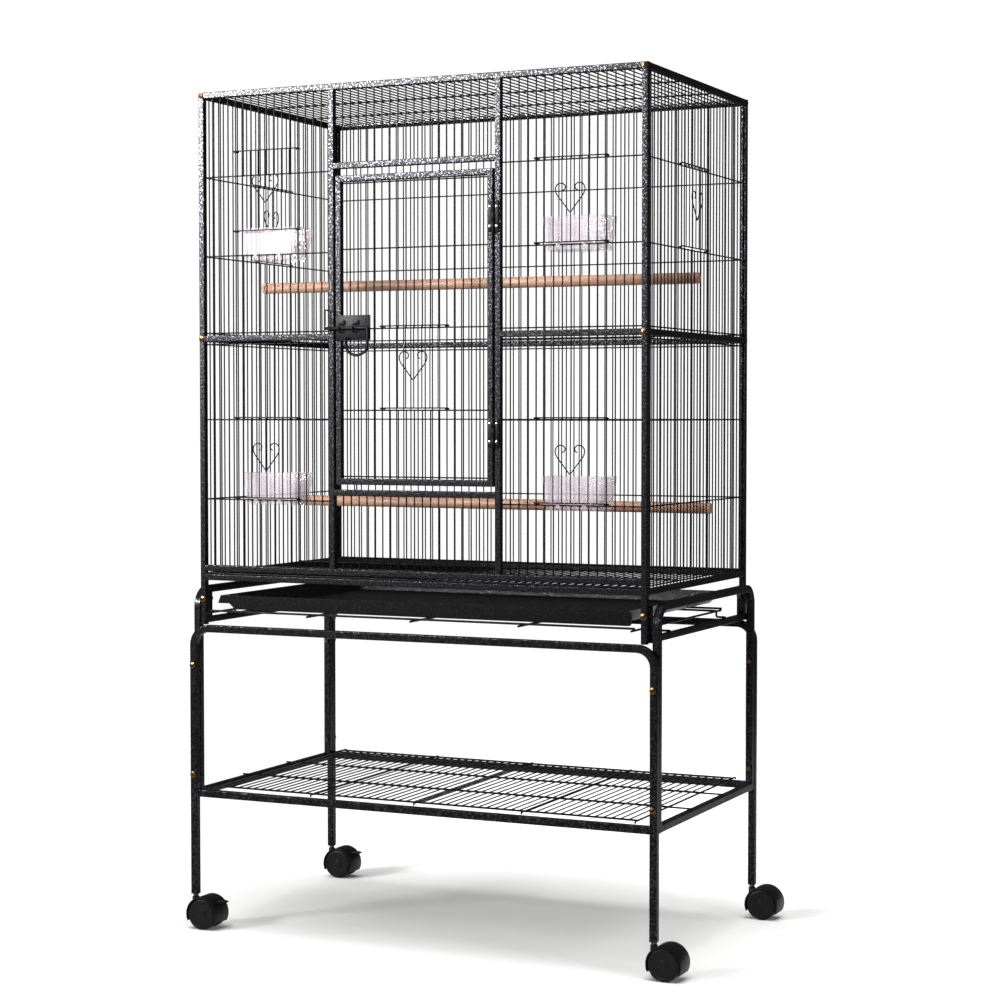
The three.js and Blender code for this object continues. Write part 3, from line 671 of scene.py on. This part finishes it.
PIN = Vector((139.5, -232.8, 0))
for where, low, high in (("upper", 1126, 1174), ("lower", 795, 841)):
    third = (high - low) / 3
    jamb, door, screws = bmesh.new(), bmesh.new(), {"jamb": bmesh.new(), "door": bmesh.new()}
    for bm, s, spans in (
        (jamb, 1, [(low, low + third), (high - third, high)]),
        (door, -1, [(low + third + 0.3, high - third - 0.3)]),
    ):
        x0, x1 = sorted((PIN.x + s * 1.8, PIN.x + s * 9.2))
        slab(bm, (x0, -231.8, low), (x1, -230.35, high), 0.35)
        for z0, z1 in spans:
            lathe(
                bm,
                [
                    (1.1, 0), (2.3, 0), (2.5, 0.3), (2.5, z1 - z0 - 0.3), (2.3, z1 - z0),
                    (1.1, z1 - z0)
                ],
                (PIN.x, PIN.y, z0), (0, 0, 1), 16
            )
    lathe(
        jamb,
        [
            (0, -1.2), (1.5, -1.2), (1.5, -0.4), (1.08, -0.2), (1.08, high - low + 0.2),
            (1.5, high - low + 0.4), (1.5, high - low + 1), (0, high - low + 1.2)
        ],
        (PIN.x, PIN.y, low), (0, 0, 1), 16
    )
    for key, s in (("jamb", 1), ("door", -1)):
        for z in (low + 9, high - 9):
            pan_head(screws[key], (PIN.x + s * 5.9, -231.7, z), (0, -1, 0), 2.4, 1.1)
    hand_over(jamb, f"hinge_{where}_on_jamb", "cage_and_stand", [hinge_black_and_recess_shade],
              [f"hinge_{where}_jamb_leaf"], crease=40)
    hand_over(door, f"hinge_{where}_on_door", "main_door", [hinge_black_and_recess_shade],
              [f"hinge_{where}_door_leaf"], crease=40)
    hand_over(
        screws["jamb"], f"hinge_{where}_jamb_screws", "cage_and_stand",
        [bright_zinc], []
    )
    hand_over(
        screws["door"], f"hinge_{where}_door_screws", "main_door", [bright_zinc], []
    )

# ---------------------------------------------------------------- door latch
# A plate riveted to the door, with two slanting guide straps over a rod whose tail is bent
# down into a U-shaped pull. All of it has the hinges' black lacquer.
PLATE_Y = -230.3
bm = bmesh.new()
slab(bm, (-136.5, PLATE_Y - 1.9, 963.5), (-74.5, PLATE_Y, 1003.5), 0.6)
for x in (-127, -102):
    strap = [
        (x + 1.6, PLATE_Y - 1, 989.6),
        (x + 0.8, PLATE_Y - 7.5, 988.4),
        (x, PLATE_Y - 9.9, 985.6),
        (x, PLATE_Y - 9.9, 980.4),
        (x - 0.8, PLATE_Y - 7.5, 977.8),
        (x - 1.6, PLATE_Y - 1, 976.6),
    ]
    wire(bm, strap, 1.2, None, 8, 3)
    slab(bm, (x - 2.6, PLATE_Y - 3, 987.6), (x + 8, PLATE_Y - 1.8, 996), 0.4)
hand_over(
    bm, "latch_plate_and_straps", "main_door", [hinge_black_and_recess_shade], ["latch_plate"],
    crease=40
)

bm = bmesh.new()
for x in (-121, -96):
    lathe(
        bm, [(2.6, 0), (2.5, 0.5), (1.7, 1.1), (0, 1.35)], (x, PLATE_Y - 2.9, 992.6), (0, -1, 0), 16
    )
hand_over(bm, "latch_rivets", "main_door", [hinge_black_and_recess_shade], [])

ROD_Y = -235.6
ROD_Z = 983
bm = bmesh.new()
lathe(bm, [(0, 0), (1.9, 0), (2.6, 0.9), (2.6, 71)], (-154, ROD_Y, ROD_Z), (1, 0, 0), 16)
bmesh.ops.holes_fill(bm, edges=bm.edges, sides=0)
hand_over(bm, "latch_rod", "latch_bolt", [hinge_black_and_recess_shade], ["latch_bolt"])

bm = bmesh.new()
pull = [
    (-84, ROD_Y, ROD_Z),
    (-77.2, ROD_Y - 0.4, 982.6),
    (-76.4, ROD_Y - 1.6, 958),
    (-79, ROD_Y - 1.8, 946),
    (-96.5, ROD_Y - 1.8, 938),
    (-114, ROD_Y - 1.8, 946),
    (-116.4, ROD_Y - 1.8, 969),
]
wire(bm, pull, 2.35, None, 12, 5)
hand_over(bm, "latch_pull", "latch_bolt", [hinge_black_and_recess_shade], [])

# ---------------------------------------------------------------- feeder doors
# Little wire guillotine doors: a frame wire above and below whose ends hook round the wires
# beside the opening, seven uprights, and a bent wire heart welded on as the finger pull.
for name, (wall, mid, pitch, z0, z1) in FEEDERS.items():
    raised = 36 if name == "upper_left" else 0
    low, high = z0 + 3.6 + raised, z1 + 3.6 + raised
    half = 4 * pitch
    bm = bmesh.new()
    for z in (low, high):
        path = [(-half + 4.5, -2.6, -1.3), (-half - 2.9, -2.6, -1.3), (-half - 2.9, 2.65, 0)]
        path += [(-u, v, drop) for u, v, drop in reversed(path)]
        wire(bm, [spot(wall, mid + u, v, z + drop) for u, v, drop in path], 1.05, 1.5)
    for k in range(-3, 4):
        wire(
            bm, [spot(wall, mid + k * pitch, 2.3, low), spot(wall, mid + k * pitch, 2.3, high)],
            0.95
        )
    heart = [
        (0, 0), (11.5, 14.5), (22.5, 27.5), (25.2, 36.5), (20, 44), (12, 44.5), (7, 40),
        (8.5, 34.5), (12, 33.5)
    ]
    for s in (-1, 1):
        wire(
            bm, [spot(wall, mid + s * (0.5 + u * 0.98), 4.5, low + 44 + v) for u, v in heart], 0.95,
            None, 8, 4
        )
    body = f"feeder_door_{name}"
    hand_over(bm, f"feeder_{name}", body, [wire_paint], [body])

# ---------------------------------------------------------------- cups
# Injection-moulded styrene tubs, only part see-through, with a thick rolled rim and draft on
# every wall, tinted faintly pink by the resin. Two lugs hook over the opening's lower wire.
material, tree, place = start_material("clear_styrene")
flow = add(tree, "ShaderNodeTexNoise", {"Vector": place, "Scale": 45.0, "Detail": 2.0})
ripple = add(
    tree, "ShaderNodeBump", {"Height": flow.outputs["Fac"], "Strength": 0.012, "Distance": 0.0003}
)
colour = add(
    tree,
    "ShaderNodeMix",
    {0: flow.outputs["Fac"], 6: linear("#a69ba3"), 7: linear("#bdb3ba")},
    data_type="RGBA",
)
rough = add(
    tree, "ShaderNodeMapRange", {"Value": flow.outputs["Fac"], "To Min": 0.0, "To Max": 0.05}
)
finish_material(
    tree,
    {
        "Base Color": colour.outputs[2],
        "Roughness": rough.outputs["Result"],
        "IOR": 1.59,
        "Specular IOR Level": 0.1,
        "Transmission Weight": 0.3,
        "Alpha": 0.32,
        "Normal": ripple.outputs["Normal"],
    },
)
clear_styrene = material


def resize(bm, ring, factor, about):
    """Scales a ring of edges about a point."""
    corners = []
    for e in ring:
        corners += [v for v in e.verts if v not in corners]
    bmesh.ops.scale(bm, vec=factor, verts=corners, space=Matrix.Translation(-Vector(about)))


CUP_FRONT = -220.8
CUP_HALF_X = 45.5
CUP_HALF_Y = 27.9
for name in ("upper_left", "upper_right", "lower_left", "lower_right"):
    _, mid, pitch, z0, _ = FEEDERS[name]
    base = z0 - 8
    about = (mid, CUP_FRONT, base)
    bm = bmesh.new()
    quad = bmesh.ops.create_grid(bm, x_segments=1, y_segments=1, size=1)["verts"]
    bmesh.ops.scale(bm, vec=(CUP_HALF_X, CUP_HALF_Y, 1), verts=quad)
    bmesh.ops.translate(bm, vec=(mid, CUP_FRONT + CUP_HALF_Y, base), verts=quad)
    rounded = bmesh.ops.bevel(
        bm, geom=quad, offset=9, offset_type="OFFSET", segments=5, profile=0.5, affect="VERTICES",
        material=-1
    )
    ring = [e for e in bm.edges if e.is_boundary]
    ring = push(bm, ring, (0, 0, 1.2))
    resize(bm, ring, (1.012, 1.004, 1), about)
    for rise in (16, 16, 15.3):
        ring = push(bm, ring, (0, 0, rise))
        resize(bm, ring, (1.044, 1.022, 1), about)
    ring = push(bm, ring, (0, 0, 0.5))
    resize(bm, ring, (1.006, 1.004, 1), about)
    ring = push(bm, ring, (0, 0, 2.6))
    ring = push(bm, ring, (0, 0, 0.4))
    middle = (mid, CUP_FRONT + 30, base)
    resize(bm, ring, (0.992, 0.986, 1), middle)
    ring = push(bm, ring, (0, 0, 0))
    resize(bm, ring, (0.962, 0.932, 1), middle)
    for drop in (-16, -16, -17.4):
        ring = push(bm, ring, (0, 0, drop))
        resize(bm, ring, (0.957, 0.978, 1), middle)
    bmesh.ops.edgeloop_fill(bm, edges=ring)
    for s in (-1, 1):
        u = mid + s * 1.5 * pitch
        slab(bm, (u - 3, -226, z0 + 1.6), (u + 3, CUP_FRONT - 0.1, z0 + 3.2), 0.3)
        slab(bm, (u - 3, -226, z0 - 3.9), (u + 3, -224.6, z0 + 1.9), 0.3)
    hand_over(
        bm, f"cup_clear_{name}", f"cup_{name}", [clear_styrene], [f"cup_{name}"],
        crease=40
    )

# ---------------------------------------------------------------- perches
# Turned beech dowel, 18 mm, sanded but not varnished, with chamfered ends that meet one
# upright wire of each side wall. The slots that hold it there are left out. The grain runs
# along it with short dark rays.
material, tree, place = start_material("sanded_beech")
along = add(tree, "ShaderNodeMapping", {"Vector": place, "Scale": (6.0, 120.0, 120.0)})
grain = add(
    tree, "ShaderNodeTexNoise",
    {
        "Vector": along.outputs["Vector"], "Scale": 1.0, "Detail": 5.0, "Roughness": 0.6,
        "Distortion": 0.6
    }
)
stretched = add(tree, "ShaderNodeMapping", {"Vector": place, "Scale": (90.0, 700.0, 700.0)})
rays = add(
    tree, "ShaderNodeTexNoise", {"Vector": stretched.outputs["Vector"], "Scale": 1.0, "Detail": 1.0}
)
marks = add(
    tree, "ShaderNodeMapRange",
    {"Value": rays.outputs["Fac"], "From Min": 0.6, "From Max": 0.7, "To Max": 0.55}
)
band = add(
    tree, "ShaderNodeMapRange", {"Value": grain.outputs["Fac"], "From Min": 0.35, "From Max": 0.65}
)
body_colour = add(
    tree,
    "ShaderNodeMix",
    {0: band.outputs["Result"], 6: linear("#694c3d"), 7: linear("#84644e")},
    data_type="RGBA",
)
colour = add(
    tree,
    "ShaderNodeMix",
    {0: marks.outputs["Result"], 6: body_colour.outputs[2], 7: linear("#573829")},
    data_type="RGBA",
)
fibre = add(
    tree, "ShaderNodeBump", {"Height": grain.outputs["Fac"], "Strength": 0.3, "Distance": 0.0006}
)
rough = add(
    tree, "ShaderNodeMapRange", {"Value": band.outputs["Result"], "To Min": 0.68, "To Max": 0.52}
)
finish_material(
    tree,
    {
        "Base Color": colour.outputs[2],
        "Roughness": rough.outputs["Result"],
        "Normal": fibre.outputs["Normal"],
    },
)
beech = material

for name, z, y_left, y_right in (
    ("perch_upper", 1062, -2 * SIDE_PITCH, 0),
    ("perch_lower", 695.5, 6 * SIDE_PITCH, 4 * SIDE_PITCH),
):
    middle = Vector((0, (y_left + y_right) / 2, z))
    run = Vector((775, y_right - y_left, 0)).normalized()
    bm = bmesh.new()
    reach = 390.9
    lathe(
        bm,
        [
            (0, -reach), (7.6, -reach), (9, -reach + 1.5), (9, -130), (9, 130), (9, reach - 1.5),
            (7.6, reach), (0, reach)
        ],
        middle, run, 24
    )
    hand_over(bm, f"{name}_dowel", "cage_and_stand", [beech], [name])

# ---------------------------------------------------------------- stand
# Four frames of 12 mm square tube, each bent to an inverted U on a 28 mm radius: a low pair
# at front and rear that carries the casters, and a taller pair at the sides bolted inside them
# that holds the cage. Shelf rails and a low rail for the tray rack are welded across.
LEG_X = 405.0
LEG_Y = 229.0
BAR = 12.0
BEND_R = 28
SHELF_RAIL_Z = 223.3
for end, s in (("front", -1), ("rear", 1)):
    bm = bmesh.new()
    y = s * LEG_Y
    arch = [(-LEG_X, y, 55.4), (-LEG_X, y, 495.5), (LEG_X, y, 495.5), (LEG_X, y, 55.4)]
    tube(bm, arch, BAR, OUT_Y, BEND_R, 8)
    tube(bm, [(-LEG_X + 5.4, y, SHELF_RAIL_Z), (LEG_X - 5.4, y, SHELF_RAIL_Z)], BAR, OUT_Y)
    name = f"stand_{end}_frame"
    hand_over(
        bm, f"stand_{end}_arch", "cage_and_stand", [tube_paint], [name],
        even=True
    )
for end, s in (("left", -1), ("right", 1)):
    bm = bmesh.new()
    x = s * 404.3
    arch = [(x, -216.7, 217.4), (x, -216.7, 557.5), (x, 216.7, 557.5), (x, 216.7, 217.4)]
    tube(bm, arch, BAR, (1, 0, 0), BEND_R, 8)
    tube(bm, [(x, -211.4, SHELF_RAIL_Z), (x, 211.4, SHELF_RAIL_Z)], BAR, (1, 0, 0))
    tube(bm, [(s * 393.4, -218.9, 508.5), (s * 393.4, 218.9, 508.5)], RAIL, (1, 0, 0))
    for y in (-213.8, 213.8):
        tube(bm, [(s * 388.6, y, 509.6), (s * 388.6, y, 559.9)], 11.6, (1, 0, 0))
    name = f"stand_{end}_frame"
    hand_over(
        bm, f"stand_{end}_arch", "cage_and_stand", [tube_paint], [name],
        even=True
    )

# ---------------------------------------------------------------- bolts
# Yellow-passivated M4 machine screws with cross-recess pan heads and hexagon nuts; the recess in
# each head is lined with the black hinge lacquer as painted shade. They pin the posts to the
# stand's stub uprights, the side frames to the legs, and the wall panels to the posts near the top
# and at mid height.
material, tree, place = start_material("yellow_passivated_zinc")
film = add(
    tree, "ShaderNodeTexNoise", {"Vector": place, "Scale": 210.0, "Detail": 3.0, "Roughness": 0.55}
)
gold = add(
    tree,
    "ShaderNodeMix",
    {0: film.outputs["Fac"], 6: linear("#3a2817"), 7: linear("#785834")},
    data_type="RGBA",
)
tint = add(tree, "ShaderNodeTexNoise", {"Vector": place, "Scale": 520.0, "Detail": 1.0})
blush = add(
    tree, "ShaderNodeMapRange",
    {"Value": tint.outputs["Fac"], "From Min": 0.55, "From Max": 0.75, "To Max": 0.5}
)
colour = add(
    tree,
    "ShaderNodeMix",
    {0: blush.outputs["Result"], 6: gold.outputs[2], 7: linear("#472b1a")},
    data_type="RGBA",
)
rough = add(
    tree, "ShaderNodeMapRange", {"Value": film.outputs["Fac"], "To Min": 0.22, "To Max": 0.4}
)
pits = add(
    tree, "ShaderNodeBump", {"Height": tint.outputs["Fac"], "Strength": 0.12, "Distance": 0.0003}
)
finish_material(
    tree,
    {
        "Base Color": colour.outputs[2],
        "Metallic": 1.0,
        "Roughness": rough.outputs["Result"],
        "Normal": pits.outputs["Normal"],
    },
)
yellow_zinc = material


def bolt(bm, x, z, s, head_y, nut_y):
    """A pan-head screw along Y; s is the end of the cage whose outside the head is on."""
    # Slot 1, the black lacquer, is painted shade in the cross recess.
    pan_head(bm, (x, s * (head_y + 0.3), z), (0, s, 0), 5.1, 2.7, 1)
    lathe(
        bm,
        [
            (0, 0), (2, 0), (2, head_y - nut_y + 4.5), (1.6, head_y - nut_y + 5.2),
            (0, head_y - nut_y + 5.2)
        ],
        (x, s * (head_y + 1), z), (0, -s, 0), 10
    )
    lathe(bm, [(2.1, 0), (3.6, 0), (4.1, 0.4), (4.1, 2.6), (3.6, 3.0), (2.1, 3.0)],
          (x, s * (nut_y - 0.3), z), (0, -s, 0), 6)


for corner, sx, sy in (
    ("front_left", -1, -1),
    ("front_right", 1, -1),
    ("rear_left", -1, 1),
    ("rear_right", 1, 1),
):
    for name, x, z, head_y, nut_y in (
        ("post_bolt", 387.5, 543.5, 230, 208),
        ("leg_bolt_upper", 404.7, 434, 235, 210.7),
        ("leg_bolt_lower", 404.7, 254, 235, 210.7),
    ):
        bm = bmesh.new()
        bolt(bm, sx * x, z, sy, head_y, nut_y)
        node = f"{name}_{corner}"
        # The second material, the black lacquer, is painted shade in the cross recesses.
        hand_over(
            bm, f"{node}_screw", "cage_and_stand", [yellow_zinc, hinge_black_and_recess_shade],
            [node], crease=40
        )
    bm = bmesh.new()
    for z in (TOP_RAIL_Z, MID_RAIL_Z):
        # Slot 1 lines the panel screws' cross recesses with the black lacquer as painted shade.
        pan_head(bm, (sx * POST_X, sy * 230.05, z), (0, sy, 0), 4.6, 2.4, 1)
    hand_over(
        bm, f"panel_screws_{corner}", "cage_and_stand", [yellow_zinc, hinge_black_and_recess_shade],
        [], crease=40
    )

# ---------------------------------------------------------------- casters
# Twin-wheel furniture casters moulded in black nylon with a fine matt grain: a fender over
# both wheels with a narrow web between them, two dished wheel discs, and a zinc-plated stem
# with a collar under the leg. The two left-hand ones have a leaf-shaped foot lever.
material, tree, place = start_material("moulded_black_nylon")
grain = add(tree, "ShaderNodeTexNoise", {"Vector": place, "Scale": 1100.0, "Detail": 2.0})
cloud = add(tree, "ShaderNodeTexNoise", {"Vector": place, "Scale": 60.0, "Detail": 3.0})
colour = add(
    tree,
    "ShaderNodeMix",
    {0: cloud.outputs["Fac"], 6: linear("#050505"), 7: linear("#0d0d0e")},
    data_type="RGBA",
)
rough = add(
    tree, "ShaderNodeMapRange", {"Value": cloud.outputs["Fac"], "To Min": 0.34, "To Max": 0.5}
)
spark = add(
    tree, "ShaderNodeBump", {"Height": grain.outputs["Fac"], "Strength": 0.12, "Distance": 0.0004}
)
finish_material(
    tree,
    {
        "Base Color": colour.outputs[2],
        "Roughness": rough.outputs["Result"],
        "IOR": 1.53,
        "Specular IOR Level": 0.14,
        "Normal": spark.outputs["Normal"],
    },
)
nylon = material
TRAIL = 22.0
WHEEL_R = 25.3


def fender(bm, cx, y, inner, outer, half, start, sweep):
    """A curved shell over the wheels: its rectangular end is spun about the axle."""
    turn = Matrix.Rotation(-start, 4, "Y")
    ends = [(inner, -half), (outer, -half), (outer, half), (inner, half)]
    corners = [bm.verts.new(turn @ Vector((r, across_y, 0))) for r, across_y in ends]
    bmesh.ops.translate(bm, vec=(cx, y, WHEEL_R), verts=corners)
    for i in range(4):
        bm.edges.new((corners[i], corners[i - 1]))
    rounded = bmesh.ops.bevel(
        bm, geom=corners, offset=0.9, offset_type="OFFSET", segments=2, profile=0.5,
        affect="VERTICES", material=-1
    )
    first = loop_of(rounded["verts"][0])
    spun = bmesh.ops.spin(
        bm,
        geom=first,
        cent=(cx, y, WHEEL_R),
        axis=(0, -1, 0),
        dvec=(0, 0, 0),
        angle=sweep,
        steps=22,
        use_merge=False,
        use_duplicate=False,
    )
    last = [g for g in spun["geom_last"] if isinstance(g, bmesh.types.BMEdge)]
    bmesh.ops.edgeloop_fill(bm, edges=first)
    bmesh.ops.edgeloop_fill(bm, edges=last)


for corner, sx, sy in (
    ("front_left", -1, -1),
    ("front_right", 1, -1),
    ("rear_left", -1, 1),
    ("rear_right", 1, 1),
):
    x, y = sx * LEG_X, sy * LEG_Y
    cx = x + TRAIL
    bm = bmesh.new()
    lathe(
        bm,
        [
            (0, 40), (2.9, 40.4), (2.9, 51.3), (4.2, 51.3), (4.5, 51.7), (4.5, 54.5), (4.2, 54.9),
            (2.9, 54.9), (2.9, 73.2), (0, 73.4)
        ],
        (x, y, 0), (0, 0, 1), 20
    )
    hand_over(bm, f"caster_pin_{corner}", "cage_and_stand", [bright_zinc],
              [f"caster_stem_{corner}"], crease=40)

    bm = bmesh.new()
    fender(bm, cx, y, 26.4, 28.8, 20.4, -0.5, pi + 0.92)
    fender(bm, cx, y, 10, 27, 5.3, -0.35, pi + 0.67)
    lathe(bm, [(0, -5.3), (12, -5.3), (12, 5.3), (0, 5.3)], (cx, y, WHEEL_R), (0, 1, 0), 24)
    lathe(bm, [(3.2, 34), (5.8, 34), (5.8, 50.2), (5.2, 51), (3.2, 51)], (x, y, 0), (0, 0, 1), 20)
    hand_over(bm, f"caster_fender_{corner}", f"caster_{corner}", [nylon],
              [f"caster_hood_{corner}"], crease=40)

    bm = bmesh.new()
    lathe(bm, [(0, -18.5), (3.1, -18.5), (3.1, 18.5), (0, 18.5)], (cx, y, WHEEL_R), (0, 1, 0), 16)
    for s in (-1, 1):
        disc = [
            (3.1, 6.6), (22.5, 6.6), (24.6, 7.2), (25.3, 8.6), (25.3, 17.2), (24.7, 19.0),
            (23.0, 19.9)
        ]
        disc += [(20.4, 19.9), (19.6, 19.1), (9.2, 18.5), (8.4, 19.3), (7.4, 19.7), (0, 19.9)]
        lathe(bm, disc, (cx, y, WHEEL_R), (0, s, 0), 40)
    hand_over(bm, f"caster_discs_{corner}", f"caster_wheels_{corner}", [nylon],
              [f"caster_wheels_{corner}"], crease=32)

    if sx < 0:
        leaf = [
            (36, 39.7), (42, 39.7), (50, 43.6), (60.6, 45.3), (61.6, 47), (54, 48.8), (47, 47.3),
            (36, 44.3)
        ]
        bm = bmesh.new()
        face = bm.faces.new([bm.verts.new((x + dx, y - 4.7, z)) for dx, z in leaf])
        thick = bmesh.ops.extrude_face_region(bm, geom=[face])["geom"]
        far = [g for g in thick if isinstance(g, bmesh.types.BMVert)]
        bmesh.ops.translate(bm, vec=(0, 9.4, 0), verts=far)
        bmesh.ops.bevel(
            bm,
            geom=bm.edges[:],
            offset=0.8,
            offset_type="OFFSET",
            segments=2,
            profile=0.5,
            affect="EDGES",
            material=-1,
        )
        hand_over(bm, f"brake_leaf_{corner}", f"brake_lever_{corner}", [nylon],
                  [f"brake_lever_{corner}"], crease=40)

# ---------------------------------------------------------------- studio
# A small round floor, pale and matt, under a wide soft sun from overhead. Two boxes at the
# front left are mirrored in the upper rails and whiten them; a weak one fills from the right.
material, tree, place = start_material("pale_studio_floor")
tone = add(tree, "ShaderNodeTexNoise", {"Vector": place, "Scale": 0.8, "Detail": 2.0})
colour = add(
    tree,
    "ShaderNodeMix",
    {0: tone.outputs["Fac"], 6: linear("#f1f1f0"), 7: linear("#f7f7f6")},
    data_type="RGBA",
)
finish_material(
    tree, {"Base Color": colour.outputs[2], "Roughness": 0.9, "Specular IOR Level": 0.1}
)
bm = bmesh.new()
bmesh.ops.create_circle(bm, cap_ends=True, segments=96, radius=2.3)
mesh = bpy.data.meshes.new("studio_floor")
bm.to_mesh(mesh)
bm.free()
floor = bpy.data.objects.new("studio_floor", mesh)
bpy.context.scene.collection.objects.link(floor)
mesh.materials.append(material)

world = bpy.data.worlds.new("white_studio")
world.use_nodes = True
world.node_tree.nodes.clear()
path = add(world.node_tree, "ShaderNodeLightPath")
seen = add(
    world.node_tree,
    "ShaderNodeMath",
    {0: path.outputs["Is Camera Ray"], 1: path.outputs["Is Transmission Ray"]},
    operation="MAXIMUM",
)
level = add(
    world.node_tree, "ShaderNodeMapRange", {"Value": seen.outputs[0], "To Min": 0.1, "To Max": 1.05}
)
sky = add(world.node_tree, "ShaderNodeBackground", {"Strength": level.outputs["Result"]})
sky.inputs["Color"].default_value = (1.0, 1.0, 1.0, 1.0)
add(world.node_tree, "ShaderNodeOutputWorld", {"Surface": sky.outputs["Background"]})
bpy.context.scene.world = world
bpy.context.scene.view_settings.view_transform = "Standard"

for name, where, aim, size, power in (
    ("far_left_box", (-2.65, -3.2, 2.2), (-0.4, 0, 1.4), (0.8, 1.0), 36),
    ("front_left_box", (-1.8, -3.4, 2.1), (-0.2, 0, 1.4), (1.4, 0.8), 17),
    ("right_fill", (3.4, -1.2, 1.8), (0, 0, 0.7), (0.8, 1.8), 4),
):
    light = bpy.data.lights.new(name, "AREA")
    light.shape = "RECTANGLE"
    light.size, light.size_y = size
    light.energy = power
    light.spread = radians(38)
    lamp = bpy.data.objects.new(name, light)
    lamp.location = where
    lamp.rotation_euler = (Vector(aim) - Vector(where)).to_track_quat("-Z", "Y").to_euler()
    bpy.context.scene.collection.objects.link(lamp)
light = bpy.data.lights.new("overhead_diffuser", "SUN")
light.energy = 3.3
light.angle = radians(50)
lamp = bpy.data.objects.new("overhead_diffuser", light)
lamp.rotation_euler = (radians(8), 0, 0)
bpy.context.scene.collection.objects.link(lamp)

# The camera stands to the front right at two thirds of the cage's height, almost level.
lens = bpy.data.cameras.new("camera")
lens.lens = 80.98
lens.sensor_width = 36.0
camera = bpy.data.objects.new("camera", lens)
camera.location = (1.59001, -3.36319, 0.84667)
camera.rotation_euler = (radians(90 - 2.18), 0, radians(25.01))
bpy.context.scene.collection.objects.link(camera)
bpy.context.scene.camera = camera
